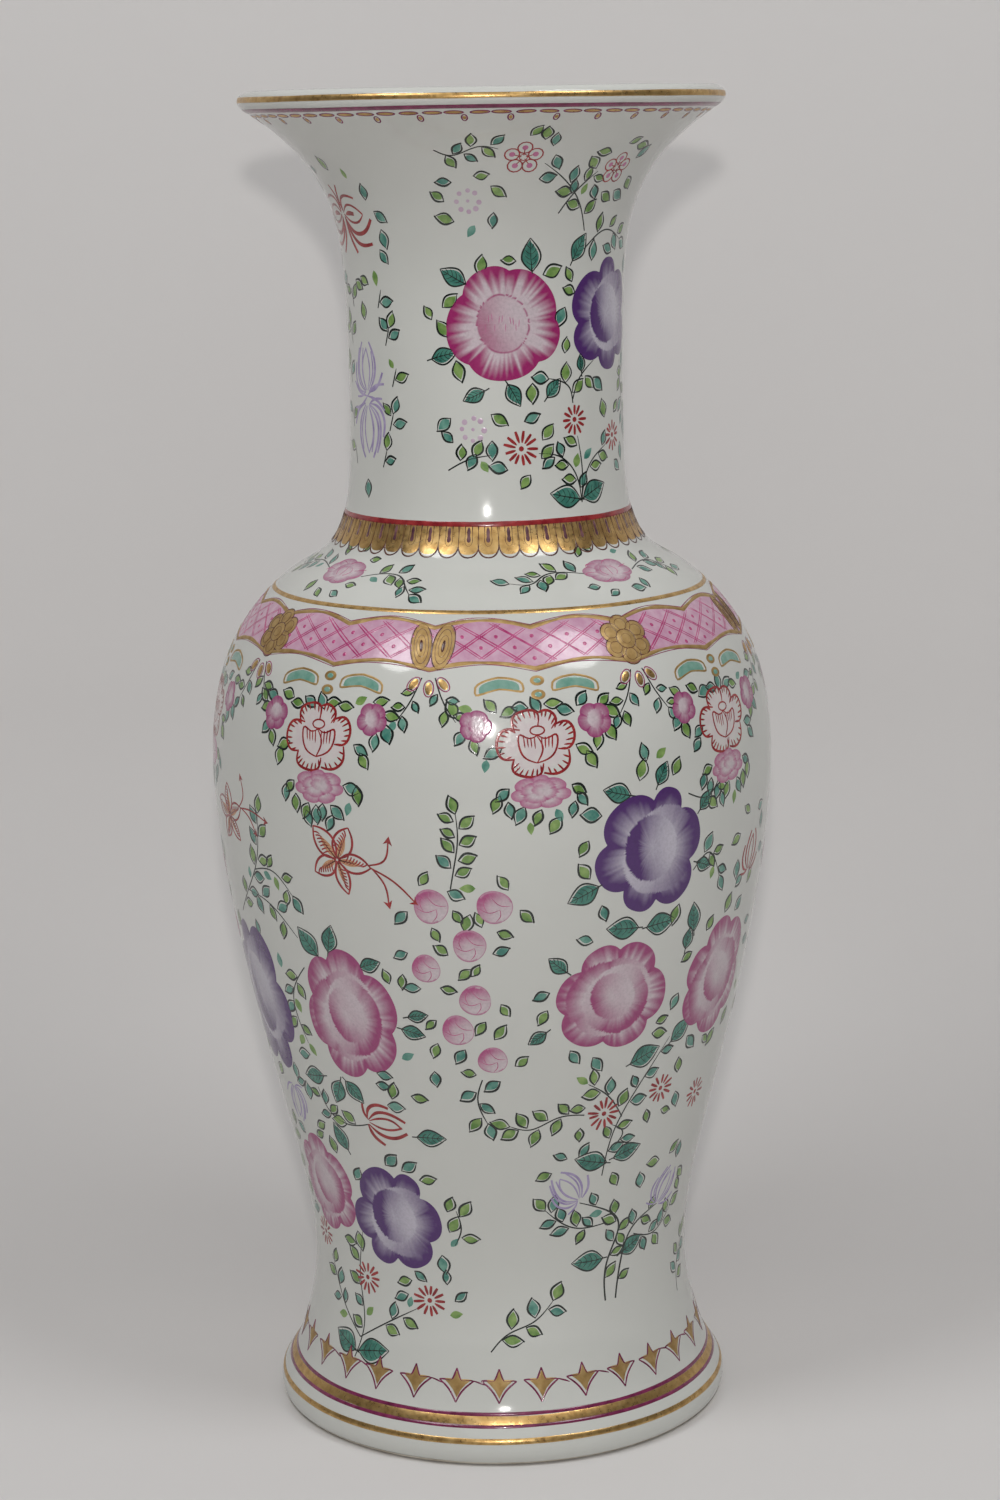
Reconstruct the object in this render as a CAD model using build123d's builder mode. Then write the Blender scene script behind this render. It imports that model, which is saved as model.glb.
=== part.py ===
"""Porcelain vase: luted and glazed porcelain sections with fired enamel and gilt bands.

Frame: +Z up along the axis of revolution, origin at the centre of the foot, on the table plane.
Millimetres. Every profile is drawn in the X-Z plane, radius first and height second.
"""

import os

from build123d import *

# Driving dimensions
HEIGHT = 375.0  # table to the crest of the lip
WALL = 4.6  # glazed wall, measured square to the surface
GLAZE = 0.4  # thickness of the glaze coat
ENAMEL = 0.15  # a fired enamel or gilt layer stands this far proud of the glaze
SLIP = 0.8  # thickness of the clay slip in a luted joint
GLAZE_EDGE = 1.4  # the glaze stops this far above the table

# Heights of the luted joints, each at the lower face of its slip
FOOT_JOINT = 8.4
BELLY_JOINT = 186.6
NECK_JOINT = 255.4

# Outside of the glaze from the table to the crest of the lip: (radius, height)
CONTACT = (62.8, 0.0)
FOOT = [(64.4, 1.2), (65.2, 4.4), (64.6, 7.4), (62.3, 11.0), (60.2, 14.5), (57.4, 22.5), (55.1, 32.5)]
BELLY = [(54.2, 44.5), (55.6, 60.0), (59.9, 80.0), (66.1, 105.0), (71.9, 131.0), (76.4, 156.0)]
SHOULDER = [(79.2, 181.0), (79.2, 197.0), (77.4, 209.5), (74.4, 219.5), (68.9, 229.5), (62.2, 237.5)]
COLLAR = [(53.3, 244.6), (45.4, 249.7), (41.4, 255.8), (39.0, 266.0)]
NECK = [(38.1, 283.0), (38.1, 303.5), (38.7, 323.5), (41.2, 341.0), (47.4, 354.0), (56.1, 363.2)]
LIP = [(61.5, 367.4), (64.9, 369.7), (66.6, 371.2), (66.8, 372.5), (65.9, 374.2)]
CREST = (63.8, HEIGHT)
INNER_LIP = (61.5, 374.2)

# Inside the vase, the wall runs beside the outside as far down as the waist, then turns into the floor
FLOOR = [(46.5, 26.0), (39.0, 18.6), (24.0, 16.5), (12.0, 16.1), (0.0, 16.0)]

# The hollow under the floor, inside the foot ring
RECESS_TOP = 9.6
RECESS_RADIUS = 57.4
RECESS_CORNER = 5.0

# Painted and gilt bands: (node, lower edge, upper edge), by height on the glaze
BANDS = [
    ("lip_gilt_line", 371.9, 373.4),
    ("rim_enamel_line", 369.4, 370.0),
    ("collar_enamel_line", 259.1, 260.3),
    ("collar_gilt_band", 251.9, 259.1),
    ("shoulder_gilt_line", 238.5, 239.4),
    ("trellis_enamel_band", 224.6, 236.6),
    ("foot_upper_enamel_line", 13.3, 14.1),
    ("foot_gilt_band", 11.3, 13.3),
    ("foot_lower_enamel_line", 10.6, 11.3),
    ("foot_gilt_line", 6.6, 8.1),
]

PORCELAIN_WHITE = Color(0.93, 0.93, 0.9)
GILT_COLOR = Color(0.7, 0.5, 0.2)
ENAMEL_COLOR = Color(0.6, 0.1, 0.3)
BEYOND = 20.0  # cutting shapes run this far past the vase

os.makedirs("parts", exist_ok=True)


def square_to(curve, point, distance):
    """The point moved square to the curve, to its right hand side."""
    along = curve.tangent_at(curve.param_at_point(Vector(*point)))
    return (point[0] + distance * along.Y, point[1] - distance * along.X)


outside = [*FOOT, *BELLY, *SHOULDER, *COLLAR, *NECK, *LIP]
with BuildLine() as outer_curve:
    Spline(CONTACT, *outside, CREST)

lined = [*BELLY, *SHOULDER, *COLLAR, *NECK, LIP[0]]
inside = [square_to(outer_curve.edge(), point, -WALL) for point in reversed(lined)]
wall_points = [*outside, CREST, INNER_LIP, *inside, *FLOOR[:-1]]
with BuildLine() as wall_curve:
    Spline(CONTACT, *wall_points, FLOOR[-1])


def wall_region(grow):
    """Half section of the vase without its recess, grown square to its glazed surface."""
    start = (CONTACT[0] + grow, CONTACT[1])
    end = (0.0, FLOOR[-1][1] + grow)
    between = [square_to(wall_curve.edge(), point, grow) for point in wall_points]
    with BuildSketch(Plane.XZ) as region:
        with BuildLine():
            Spline(start, *between, end)
            Polyline(end, (0, 0), start)
        make_face()
    return region.sketch


def recess_region(grow):
    """Half section of the hollow inside the foot ring, grown into the clay."""
    radius = RECESS_RADIUS + grow
    ceiling = RECESS_TOP + grow
    corner = (radius - RECESS_CORNER, ceiling)
    with BuildSketch(Plane.XZ) as region:
        with BuildLine():
            wall = Line((radius, -BEYOND), (radius, ceiling - RECESS_CORNER))
            TangentArc(wall @ 1, corner, tangent=wall % 1)
            Polyline(corner, (0, ceiling), (0, -BEYOND), (radius, -BEYOND))
        make_face()
    return region.sketch


def slab(low, high):
    """A horizontal slice of the half plane between two heights."""
    with BuildSketch(Plane.XZ) as region:
        with Locations((HEIGHT / 4, (low + high) / 2)):
            Rectangle(HEIGHT / 2, high - low)
    return region.sketch


def finish(piece, name, color):
    """Label, colour and write one finished piece."""
    piece.part.label = name
    piece.part.color = color
    export_step(piece.part, f"parts/{name}.step")


glazed_wall = wall_region(0)
clay_wall = wall_region(-GLAZE)
enamelled_wall = wall_region(ENAMEL)
glazed_recess = recess_region(0)
clay_recess = recess_region(GLAZE)

# Porcelain sections, stacked from the table up, with the slip of each joint between them
SECTIONS = [
    ("foot_ring", 0, FOOT_JOINT),
    ("foot_luting_slip", FOOT_JOINT, FOOT_JOINT + SLIP),
    ("lower_body", FOOT_JOINT + SLIP, BELLY_JOINT),
    ("belly_luting_slip", BELLY_JOINT, BELLY_JOINT + SLIP),
    ("upper_body", BELLY_JOINT + SLIP, NECK_JOINT),
    ("neck_luting_slip", NECK_JOINT, NECK_JOINT + SLIP),
    ("neck", NECK_JOINT + SLIP, HEIGHT),
]
for name, low, high in SECTIONS:
    with BuildPart() as section:
        with BuildSketch(Plane.XZ):
            add(clay_wall)
            add(clay_recess, mode=Mode.SUBTRACT)
            add(slab(low, high), mode=Mode.INTERSECT)
        revolve(axis=Axis.Z)
    finish(section, name, PORCELAIN_WHITE)

# Glaze over the outside, the lip and the whole of the inside
with BuildPart() as glaze_coat:
    with BuildSketch(Plane.XZ):
        add(glazed_wall)
        add(clay_wall, mode=Mode.SUBTRACT)
        add(slab(GLAZE_EDGE, HEIGHT + BEYOND), mode=Mode.INTERSECT)
    revolve(axis=Axis.Z)
finish(glaze_coat, "glaze_coat", PORCELAIN_WHITE)

# Glaze under the floor, inside the foot ring
with BuildPart() as underside_glaze:
    with BuildSketch(Plane.XZ):
        add(clay_recess)
        add(glazed_recess, mode=Mode.SUBTRACT)
        add(slab(GLAZE_EDGE, HEIGHT), mode=Mode.INTERSECT)
    revolve(axis=Axis.Z)
finish(underside_glaze, "underside_glaze", PORCELAIN_WHITE)

# Fired enamel and gilding, standing proud of the glaze
for name, low, high in BANDS:
    with BuildPart() as band:
        with BuildSketch(Plane.XZ, mode=Mode.PRIVATE) as skin:
            add(enamelled_wall)
            add(glazed_wall, mode=Mode.SUBTRACT)
            add(slab(low, high), mode=Mode.INTERSECT)
        outermost = skin.sketch.faces().sort_by(Axis.X)[-1]
        revolve(outermost, axis=Axis.Z)
    finish(band, name, GILT_COLOR if "gilt" in name else ENAMEL_COLOR)
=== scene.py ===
"""Looks of the painted porcelain vase: one continuous glaze, gilt and enamel bands, and flower painting.

Metres in Blender. Layout is in millimetres and degrees: an angle is measured round the vase from the
front (-Y) towards the viewer's right (+X), and a height is measured up from the table.
"""

import math
import random

import bpy
import numpy as np
from mathutils import Matrix, Vector


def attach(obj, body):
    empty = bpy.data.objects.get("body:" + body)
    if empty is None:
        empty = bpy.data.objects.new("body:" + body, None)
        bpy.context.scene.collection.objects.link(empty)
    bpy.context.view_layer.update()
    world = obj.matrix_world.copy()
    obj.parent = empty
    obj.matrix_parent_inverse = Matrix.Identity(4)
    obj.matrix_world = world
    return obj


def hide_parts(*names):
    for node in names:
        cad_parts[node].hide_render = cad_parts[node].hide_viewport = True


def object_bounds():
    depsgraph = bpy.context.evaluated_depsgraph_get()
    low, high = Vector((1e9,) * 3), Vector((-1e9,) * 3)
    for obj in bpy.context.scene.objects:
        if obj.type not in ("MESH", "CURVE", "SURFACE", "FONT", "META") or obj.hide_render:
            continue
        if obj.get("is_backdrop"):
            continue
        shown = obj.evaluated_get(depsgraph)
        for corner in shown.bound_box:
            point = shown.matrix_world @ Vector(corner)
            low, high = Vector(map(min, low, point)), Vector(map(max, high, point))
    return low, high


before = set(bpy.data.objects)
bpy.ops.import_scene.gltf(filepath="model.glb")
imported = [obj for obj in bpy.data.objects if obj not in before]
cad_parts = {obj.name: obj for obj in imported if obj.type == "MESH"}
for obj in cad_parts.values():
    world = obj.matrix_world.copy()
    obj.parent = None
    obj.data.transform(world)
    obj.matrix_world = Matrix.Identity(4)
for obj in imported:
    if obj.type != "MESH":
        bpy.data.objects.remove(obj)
CAD_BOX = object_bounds()

MM = 0.001
FULL_TURN = 2 * math.pi
rng = random.Random(11)

# --- The vase's own outline, the same as the CAD: (radius, height) --------------------------------
HEIGHT = 375.0
WALL = 4.6
GLAZE_EDGE = 1.4
CONTACT = (62.8, 0.0)
FOOT = [(64.4, 1.2), (65.2, 4.4), (64.6, 7.4), (62.3, 11.0), (60.2, 14.5), (57.4, 22.5), (55.1, 32.5)]
BELLY = [(54.2, 44.5), (55.6, 60.0), (59.9, 80.0), (66.1, 105.0), (71.9, 131.0), (76.4, 156.0)]
SHOULDER = [(79.2, 181.0), (79.2, 197.0), (77.4, 209.5), (74.4, 219.5), (68.9, 229.5), (62.2, 237.5)]
COLLAR = [(53.3, 244.6), (45.4, 249.7), (41.4, 255.8), (39.0, 266.0)]
NECK = [(38.1, 283.0), (38.1, 303.5), (38.7, 323.5), (41.2, 341.0), (47.4, 354.0), (56.1, 363.2)]
LIP = [(61.5, 367.4), (64.9, 369.7), (66.6, 371.2), (66.8, 372.5), (65.9, 374.2)]
CREST = (63.8, HEIGHT)
INNER_LIP = (61.5, 374.2)
FLOOR = [(46.5, 26.0), (39.0, 18.6), (24.0, 16.5), (12.0, 16.1), (0.0, 16.0)]
RECESS_TOP = 9.6
RECESS_RADIUS = 57.4
RECESS_CORNER = 5.0
OUTLINE_POINTS = 3000


def spline(points, count):
    """Points along the natural cubic through the given ones, even in chord length."""
    knots = np.array(points, float)
    reach = np.concatenate([[0.0], np.cumsum(np.linalg.norm(np.diff(knots, axis=0), axis=1))])
    step = np.diff(reach)
    last = len(knots) - 1
    system = np.eye(last + 1)
    bends = np.zeros_like(knots)
    for i in range(1, last):
        system[i, i - 1 : i + 2] = step[i - 1], 2 * (step[i - 1] + step[i]), step[i]
        bends[i] = 6 * ((knots[i + 1] - knots[i]) / step[i] - (knots[i] - knots[i - 1]) / step[i - 1])
    curve = np.linalg.solve(system, bends)
    at = np.linspace(0, reach[-1], count)
    k = np.clip(np.searchsorted(reach, at, side="right") - 1, 0, last - 1)
    a = ((reach[k + 1] - at) / step[k])[:, None]
    b = 1 - a
    bow = (a**3 - a) * curve[k] + (b**3 - b) * curve[k + 1]
    return a * knots[k] + b * knots[k + 1] + bow * step[k][:, None] ** 2 / 6


def normals(line):
    """Unit vectors to the right hand side of a line, point by point."""
    along = np.gradient(line, axis=0)
    along /= np.linalg.norm(along, axis=1)[:, None]
    return np.stack([along[:, 1], -along[:, 0]], axis=1)


OUTER = spline([CONTACT, *FOOT, *BELLY, *SHOULDER, *COLLAR, *NECK, *LIP, CREST], OUTLINE_POINTS)
OUTER_NORMAL = normals(OUTER)
ARC = np.concatenate([[0.0], np.cumsum(np.linalg.norm(np.diff(OUTER, axis=0), axis=1))])


def evenly(count):
    """Angles evenly round a full turn."""
    return np.linspace(0, FULL_TURN, count, endpoint=False)


def arc_at(height):
    """Distance along the outline from the foot to a height."""
    return np.interp(height, OUTER[:, 1], ARC)


def waver(angle, height):
    """How far throwing and firing leave the surface from a true circle, in millimetres."""
    slow = 0.10 * np.sin(2 * angle + 0.9 + height / 90)
    return slow + 0.05 * np.sin(5 * angle - height / 26) + 0.04 * np.sin(3 * angle + height / 13)


def turned(radius, height, angle):
    """Points in metres from radii and heights in millimetres, and angles in radians from the front."""
    return np.stack([radius * np.sin(angle), -radius * np.cos(angle), height + 0 * angle], axis=-1) * MM


def glaze(angle, arc, lift):
    """Points over the glaze: the lift is how far they stand off it, in millimetres."""
    radius = np.interp(arc, ARC, OUTER[:, 0])
    height = np.interp(arc, ARC, OUTER[:, 1])
    off = lift + waver(angle, height)
    radius = radius + off * np.interp(arc, ARC, OUTER_NORMAL[:, 0])
    height = height + off * np.interp(arc, ARC, OUTER_NORMAL[:, 1])
    return turned(radius, height, angle)


def polar(radius, degrees):
    """The point at a distance and in a direction."""
    return radius * math.cos(math.radians(degrees)), radius * math.sin(math.radians(degrees))


def heading(start, end):
    """The direction from a point to another, in degrees."""
    return math.degrees(math.atan2(end[1] - start[1], end[0] - start[0]))


class Spot:
    """A place on the glaze with its own right and up directions, in millimetres."""

    def __init__(self, paint, angle, arc, axes):
        self.paint = paint  # the region whose layers take the marks made here
        self.angle = angle
        self.arc = arc
        self.axes = axes

    def move(self, points):
        """Angle and arc of local points."""
        moved = np.asarray(points, float) @ self.axes.T
        arc = self.arc + moved[..., 1]
        return self.angle + moved[..., 0] / np.interp(arc, ARC, OUTER[:, 0]), arc

    def put(self, points, lift):
        """Local points on the glaze, in metres."""
        angle, arc = self.move(points)
        return glaze(angle, arc, lift)

    def at(self, right, up, turn=0.0, size=1.0, flip=False):
        """Another place, from this one: moved, then turned anticlockwise, scaled and mirrored."""
        angle, arc = self.move((right, up))
        c, s = polar(size, turn)
        local = np.array([[-c if flip else c, -s], [-s if flip else s, c]])
        return Spot(self.paint, angle, arc, self.axes @ local)


# --- Materials -----------------------------------------------------------------------------------
WHITE = (0.62, 0.63, 0.595)
PAINT = "paint"  # the attribute that holds a shaded flower's colours
MIX_COLOUR_A = 6  # the mix node's sockets for colours share their names with the ones for numbers
MIX_COLOUR_B = 7
MIX_COLOUR_OUT = 2


def shader(name, roughness, metallic=0.0, coat=0.0):
    """A Principled material, its node tree and its shader."""
    material = bpy.data.materials.new(name)
    material.use_nodes = True
    tree = material.node_tree
    surface = tree.nodes["Principled BSDF"]
    surface.inputs["Roughness"].default_value = roughness
    surface.inputs["Metallic"].default_value = metallic
    surface.inputs["Coat Weight"].default_value = coat
    surface.inputs["Coat Roughness"].default_value = 0.06
    return material, tree, surface


def noise(tree, scale, detail=3.0):
    """Noise in object space, with a scale in features per metre."""
    place = tree.nodes.new("ShaderNodeTexCoord")
    texture = tree.nodes.new("ShaderNodeTexNoise")
    texture.inputs["Scale"].default_value = scale
    texture.inputs["Detail"].default_value = detail
    tree.links.new(place.outputs["Object"], texture.inputs["Vector"])
    return texture.outputs["Fac"]


def ramp(tree, source, stops):
    """Colours over a value: stops are (position, colour)."""
    node = tree.nodes.new("ShaderNodeValToRGB")
    elements = node.color_ramp.elements
    while len(elements) < len(stops):
        elements.new(0.5)
    for element, (position, colour) in zip(elements, stops):
        element.position = position
        element.color = (*colour, 1.0)
    tree.links.new(source, node.inputs["Fac"])
    return node.outputs["Color"]


def bump(tree, surface, height, depth):
    """Relief from a value, its depth in metres."""
    node = tree.nodes.new("ShaderNodeBump")
    node.inputs["Distance"].default_value = depth
    node.inputs["Strength"].default_value = 1.0
    tree.links.new(height, node.inputs["Height"])
    tree.links.new(node.outputs["Normal"], surface.inputs["Normal"])


def vary(tree, surface, socket, value, stops):
    """Let one of the shader's inputs follow a value, by way of a ramp."""
    tree.links.new(ramp(tree, value, stops), surface.inputs[socket])


def grey(value):
    """A colour without hue."""
    return (value, value, value)


def porcelain_material():
    """Cool white glaze with faint pooling and a barely uneven skin."""
    material, tree, surface = shader("cool_white_glaze", 0.09)
    cooler = tuple(0.975 * c for c in WHITE)
    vary(tree, surface, "Base Color", noise(tree, 22.0, 4.0), [(0.35, cooler), (0.65, WHITE)])
    vary(tree, surface, "Roughness", noise(tree, 60.0, 2.0), [(0.3, grey(0.07)), (0.7, grey(0.12))])
    bump(tree, surface, noise(tree, 130.0, 2.0), 0.00005)
    return material


def biscuit_material():
    """Bare fired clay of the foot ring, matt, gritty and slightly soiled."""
    material, tree, surface = shader("bare_biscuit", 0.75)
    colours = [(0.3, (0.42, 0.36, 0.28)), (0.5, (0.60, 0.56, 0.48)), (0.7, (0.66, 0.63, 0.56))]
    vary(tree, surface, "Base Color", noise(tree, 90.0, 5.0), colours)
    bump(tree, surface, noise(tree, 1500.0, 4.0), 0.0001)
    return material


def gold_material(name, metallic, smooth, rough, colours):
    """Gilding, brushed on by hand, thin and worn in places."""
    material, tree, surface = shader(name, 0.3, metallic=metallic)
    wash = noise(tree, 420.0, 5.0)
    vary(tree, surface, "Base Color", wash, list(zip((0.25, 0.5, 0.75), colours)))
    vary(tree, surface, "Roughness", noise(tree, 900.0, 3.0), [(0.3, grey(smooth)), (0.7, grey(rough))])
    bump(tree, surface, wash, 0.00006)
    return material


def enamel_material(name, thin, full):
    """Overglaze enamel, uneven in depth where the brush left it thin or pooled."""
    material, tree, surface = shader(name, 0.22, coat=0.3)
    vary(tree, surface, "Base Color", noise(tree, 380.0, 4.0), [(0.32, thin), (0.68, full)])
    bump(tree, surface, noise(tree, 900.0, 2.0), 0.00004)
    return material


def painted_material(name):
    """Enamel whose colour was shaded with the brush, with fine streaks across the strokes."""
    material, tree, surface = shader(name, 0.2, coat=0.3)
    colour = tree.nodes.new("ShaderNodeAttribute")
    colour.attribute_name = PAINT
    streaks = ramp(tree, noise(tree, 1400.0, 4.0), [(0.3, grey(0.86)), (0.6, grey(1.0))])
    mix = tree.nodes.new("ShaderNodeMix")
    mix.data_type = "RGBA"
    mix.blend_type = "MULTIPLY"
    mix.inputs["Factor"].default_value = 1.0
    tree.links.new(colour.outputs["Color"], mix.inputs[MIX_COLOUR_A])
    tree.links.new(streaks, mix.inputs[MIX_COLOUR_B])
    tree.links.new(mix.outputs[MIX_COLOUR_OUT], surface.inputs["Base Color"])
    bump(tree, surface, noise(tree, 1100.0, 2.0), 0.00004)
    return material


LINE = "line"
GREEN = "green"
TEAL = "teal"
GOLD = "gold"
RED = "red"
PUCE = "puce"
MAGENTA = "magenta"
PINK = "pink"
LILAC = "lilac"
TURQUOISE = "turquoise"
SHADED = "shaded"
VIOLET = "violet"
SEA = "sea"
MAUVE = "mauve"
BLUSH = "blush"
ROSY = "rosy"
UMBER = "umber"
DUSK = "dusk"
AMBER = "amber"
BOSS = "boss"
GROUND = "ground"
GLAZE = "glaze"
BISCUIT = "biscuit"

# Each enamel's material, its colour where it is thin and its colour where it is full
ENAMELS = {
    LINE: ("dark_line_enamel", (0.020, 0.030, 0.024), (0.003, 0.006, 0.005)),
    GREEN: ("leaf_green_enamel", (0.26, 0.39, 0.12), (0.09, 0.21, 0.04)),
    TEAL: ("light_teal_enamel", (0.16, 0.35, 0.28), (0.04, 0.19, 0.15)),
    SEA: ("deep_teal_enamel", (0.08, 0.26, 0.20), (0.02, 0.13, 0.10)),
    RED: ("iron_red_enamel", (0.36, 0.035, 0.035), (0.20, 0.006, 0.012)),
    PUCE: ("puce_enamel", (0.24, 0.03, 0.10), (0.12, 0.008, 0.045)),
    MAGENTA: ("magenta_enamel", (0.55, 0.10, 0.26), (0.36, 0.02, 0.13)),
    PINK: ("pink_enamel", (0.56, 0.22, 0.36), (0.44, 0.11, 0.24)),
    MAUVE: ("mauve_enamel", (0.57, 0.46, 0.55), (0.48, 0.33, 0.45)),
    LILAC: ("lilac_enamel", (0.44, 0.38, 0.56), (0.28, 0.22, 0.42)),
    TURQUOISE: ("turquoise_enamel", (0.23, 0.40, 0.33), (0.12, 0.30, 0.235)),
    ROSY: ("rosy_line_enamel", (0.36, 0.07, 0.16), (0.18, 0.015, 0.06)),
    UMBER: ("umber_line_enamel", (0.12, 0.035, 0.02), (0.05, 0.010, 0.008)),
    DUSK: ("dusky_puce_enamel", (0.20, 0.09, 0.10), (0.06, 0.015, 0.03)),
    AMBER: ("amber_wash_enamel", (0.58, 0.36, 0.20), (0.46, 0.19, 0.08)),
    BLUSH: ("blush_wash_enamel", (0.66, 0.63, 0.61), (0.64, 0.56, 0.57)),
    GROUND: ("pale_pink_ground_enamel", (0.61, 0.39, 0.50), (0.53, 0.27, 0.40)),
}
BURNISHED = [(0.40, 0.23, 0.08), (0.58, 0.37, 0.14), (0.70, 0.48, 0.21)]
MATT = [(0.30, 0.18, 0.06), (0.42, 0.27, 0.10), (0.52, 0.36, 0.16)]
MATERIALS = {
    **{family: enamel_material(*look) for family, look in ENAMELS.items()},
    GOLD: gold_material("burnished_gilding", 0.9, 0.24, 0.42, BURNISHED),
    BOSS: gold_material("matt_gilding", 0.55, 0.40, 0.58, MATT),
    SHADED: painted_material("shaded_rose_enamel"),
    VIOLET: painted_material("shaded_violet_enamel"),
    GLAZE: porcelain_material(),
    BISCUIT: biscuit_material(),
}
FAMILIES = {
    "clear_glaze": [GLAZE],
    "porcelain_biscuit": [BISCUIT],
    "gilding": [GOLD, BOSS],
    "line_enamel": [LINE],
    "green_enamel": [GREEN, TEAL, SEA],
    "iron_red_enamel": [RED, AMBER],
    "puce_enamel": [PUCE, ROSY, UMBER, DUSK],
    "pink_enamel": [PINK, MAGENTA, SHADED, BLUSH, GROUND],
    "lilac_enamel": [LILAC, VIOLET, MAUVE],
    "turquoise_enamel": [TURQUOISE],
}
SLOTS = {family: slot for slot, families in FAMILIES.items() for family in families}


# --- Meshes and brush marks ------------------------------------------------------------------------
class Layer:
    """A piece while its brush marks are gathered."""

    def __init__(self):
        self.points = []
        self.faces = []
        self.tints = []
        self.count = 0

    def grid(self, points, wrap=False, centre=None, tints=None, middle=None):
        """A sheet of quads over rows of points, or a disc when the rows are rings round a centre."""
        rows, columns = points.shape[:2]
        self.points.append(points.reshape(-1, 3))
        if tints is not None:
            self.tints.append(tints.reshape(-1, 3))
        index = self.count + np.arange(rows * columns).reshape(rows, columns)
        right = np.roll(index, -1, axis=1)
        width = columns if wrap else columns - 1
        quads = np.stack([index[:-1], right[:-1], right[1:], index[1:]], axis=-1)[:, :width]
        self.faces.extend(quads.reshape(-1, 4).tolist())
        self.count += rows * columns
        if centre is not None:
            self.points.append(centre.reshape(1, 3))
            if tints is not None:
                self.tints.append(middle.reshape(1, 3))
            hub = self.count
            self.faces.extend([a, b, hub] for a, b in zip(index[-1].tolist(), right[-1].tolist()))
            self.count += 1


def sheet(name, points, faces, material):
    """A smooth mesh in the scene."""
    mesh = bpy.data.meshes.new(name)
    mesh.from_pydata(points, [], faces)
    mesh.shade_smooth()
    mesh.materials.append(material)
    piece = bpy.data.objects.new(name, mesh)
    bpy.context.scene.collection.objects.link(piece)
    return piece


def build(name, layer, family, replaced=()):
    """Make a layer's mesh into a piece of the vase, in a family's material."""
    piece = sheet(name, np.concatenate(layer.points).tolist(), layer.faces, MATERIALS[family])
    if layer.tints:
        tints = np.concatenate(layer.tints)
        attribute = piece.data.attributes.new(PAINT, "FLOAT_COLOR", "POINT")
        opaque = np.concatenate([tints, np.ones((len(tints), 1))], axis=1)
        attribute.data.foreach_set("color", opaque.astype(np.float32).ravel())
    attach(piece, "root")
    SLOTS[family]
    if replaced:
        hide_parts(*replaced)


EDGE = 0.012  # a brush mark's edge stands this far off the glaze
RELIEF = 0.06  # and its middle this far


def brush(place, family, line, side, lift, closed=False):
    """A line of paint, domed between its two edges."""
    rows = [place.put(line - side, EDGE), place.put(line, lift), place.put(line + side, EDGE)]
    place.paint[family].grid(np.stack(rows), closed)


def stroke(place, family, route, width, ends=(0.35, 0.35), lift=RELIEF, step=0.8):
    """A brush line through local points, swelling from its start and thinning to its end."""
    rough = np.linalg.norm(np.diff(np.array(route, float), axis=0), axis=1).sum()
    line = spline(route, max(3, math.ceil(rough / step) + 1))
    share = np.linspace(0, 1, len(line))
    half = width / 2 * np.interp(share, [0, 0.3, 0.7, 1], [ends[0], 1, 1, ends[1]])
    brush(place, family, line, normals(line) * half[:, None], lift)


def loop(place, family, outline, width, lift=RELIEF):
    """A brush line round a closed outline."""
    line = np.asarray(outline, float)
    along = np.roll(line, -1, axis=0) - np.roll(line, 1, axis=0)
    along /= np.linalg.norm(along, axis=1)[:, None] + 1e-9
    side = np.stack([along[:, 1], -along[:, 0]], axis=1) * width / 2
    brush(place, family, line, side, lift, True)


def blob(place, family, outline, lift=RELIEF, rings=(1.0, 0.82, 0.45)):
    """A filled, slightly domed patch inside a closed outline."""
    line = np.asarray(outline, float)
    middle = line.mean(axis=0)
    heights = [EDGE, *np.linspace(0.8, 1.0, len(rings) - 1) * lift]
    rows = [place.put(middle + (line - middle) * r, h) for r, h in zip(rings, heights)]
    place.paint[family].grid(np.stack(rows), True, place.put(middle, lift))


def circle(radius, count=14, centre=(0.0, 0.0), squash=1.0):
    """An outline, squashed in height."""
    angle = evenly(count)
    across = centre[0] + radius * np.cos(angle)
    return np.stack([across, centre[1] + radius * squash * np.sin(angle)], axis=1)


def leaf_outline(length, width, count=7):
    """A pointed oval from the origin along +right."""
    share = np.linspace(0, 1, count)
    half = width / 2 * np.sin(math.pi * share**0.85)
    there = np.stack([length * share, half], axis=1)
    back = np.stack([length * share[1:-1], -half[1:-1]], axis=1)[::-1]
    return np.concatenate([there, back])


class Region:
    """The painting of one part of the vase: a layer for each family of colour."""

    every = []

    def __init__(self, name):
        self.name = name
        self.layers = {}
        Region.every.append(self)

    def __getitem__(self, family):
        return self.layers.setdefault(family, Layer())

    def spot(self, angle, height, turn=0.0, size=1.0, flip=False):
        """A place painted in this region, at an angle in degrees and a height."""
        return Spot(self, math.radians(angle), arc_at(height), np.eye(2)).at(0, 0, turn, size, flip)

    def facing(self, front):
        """The same, for angles that are measured from a front."""
        return lambda angle, *rest: self.spot(front + angle, *rest)


# --- Leaves and stems ------------------------------------------------------------------------------
WASH = 0.022  # leaves and stems lie lower than the flowers, which cover their ends
INK = 0.032
STEM = 0.028
FLOWERS = []  # angle, arc, and the matrix that takes an offset in millimetres to shares of the flower
WAITING = []  # little leaves, painted when every flower is in place


def keep_clear(place, half, tall=None):
    """Keep little leaves off an oval round a place."""
    shares = np.diag([1 / half, 1 / (tall or half)]) @ np.linalg.inv(place.axes)
    FLOWERS.append((place.angle, place.arc, shares))


def leaf(place, length, family, room=0.34):
    """Ask for a little leaf along the place's right, with room to itself as a share of its length."""
    WAITING.append((place, length, family, room * length))


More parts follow.
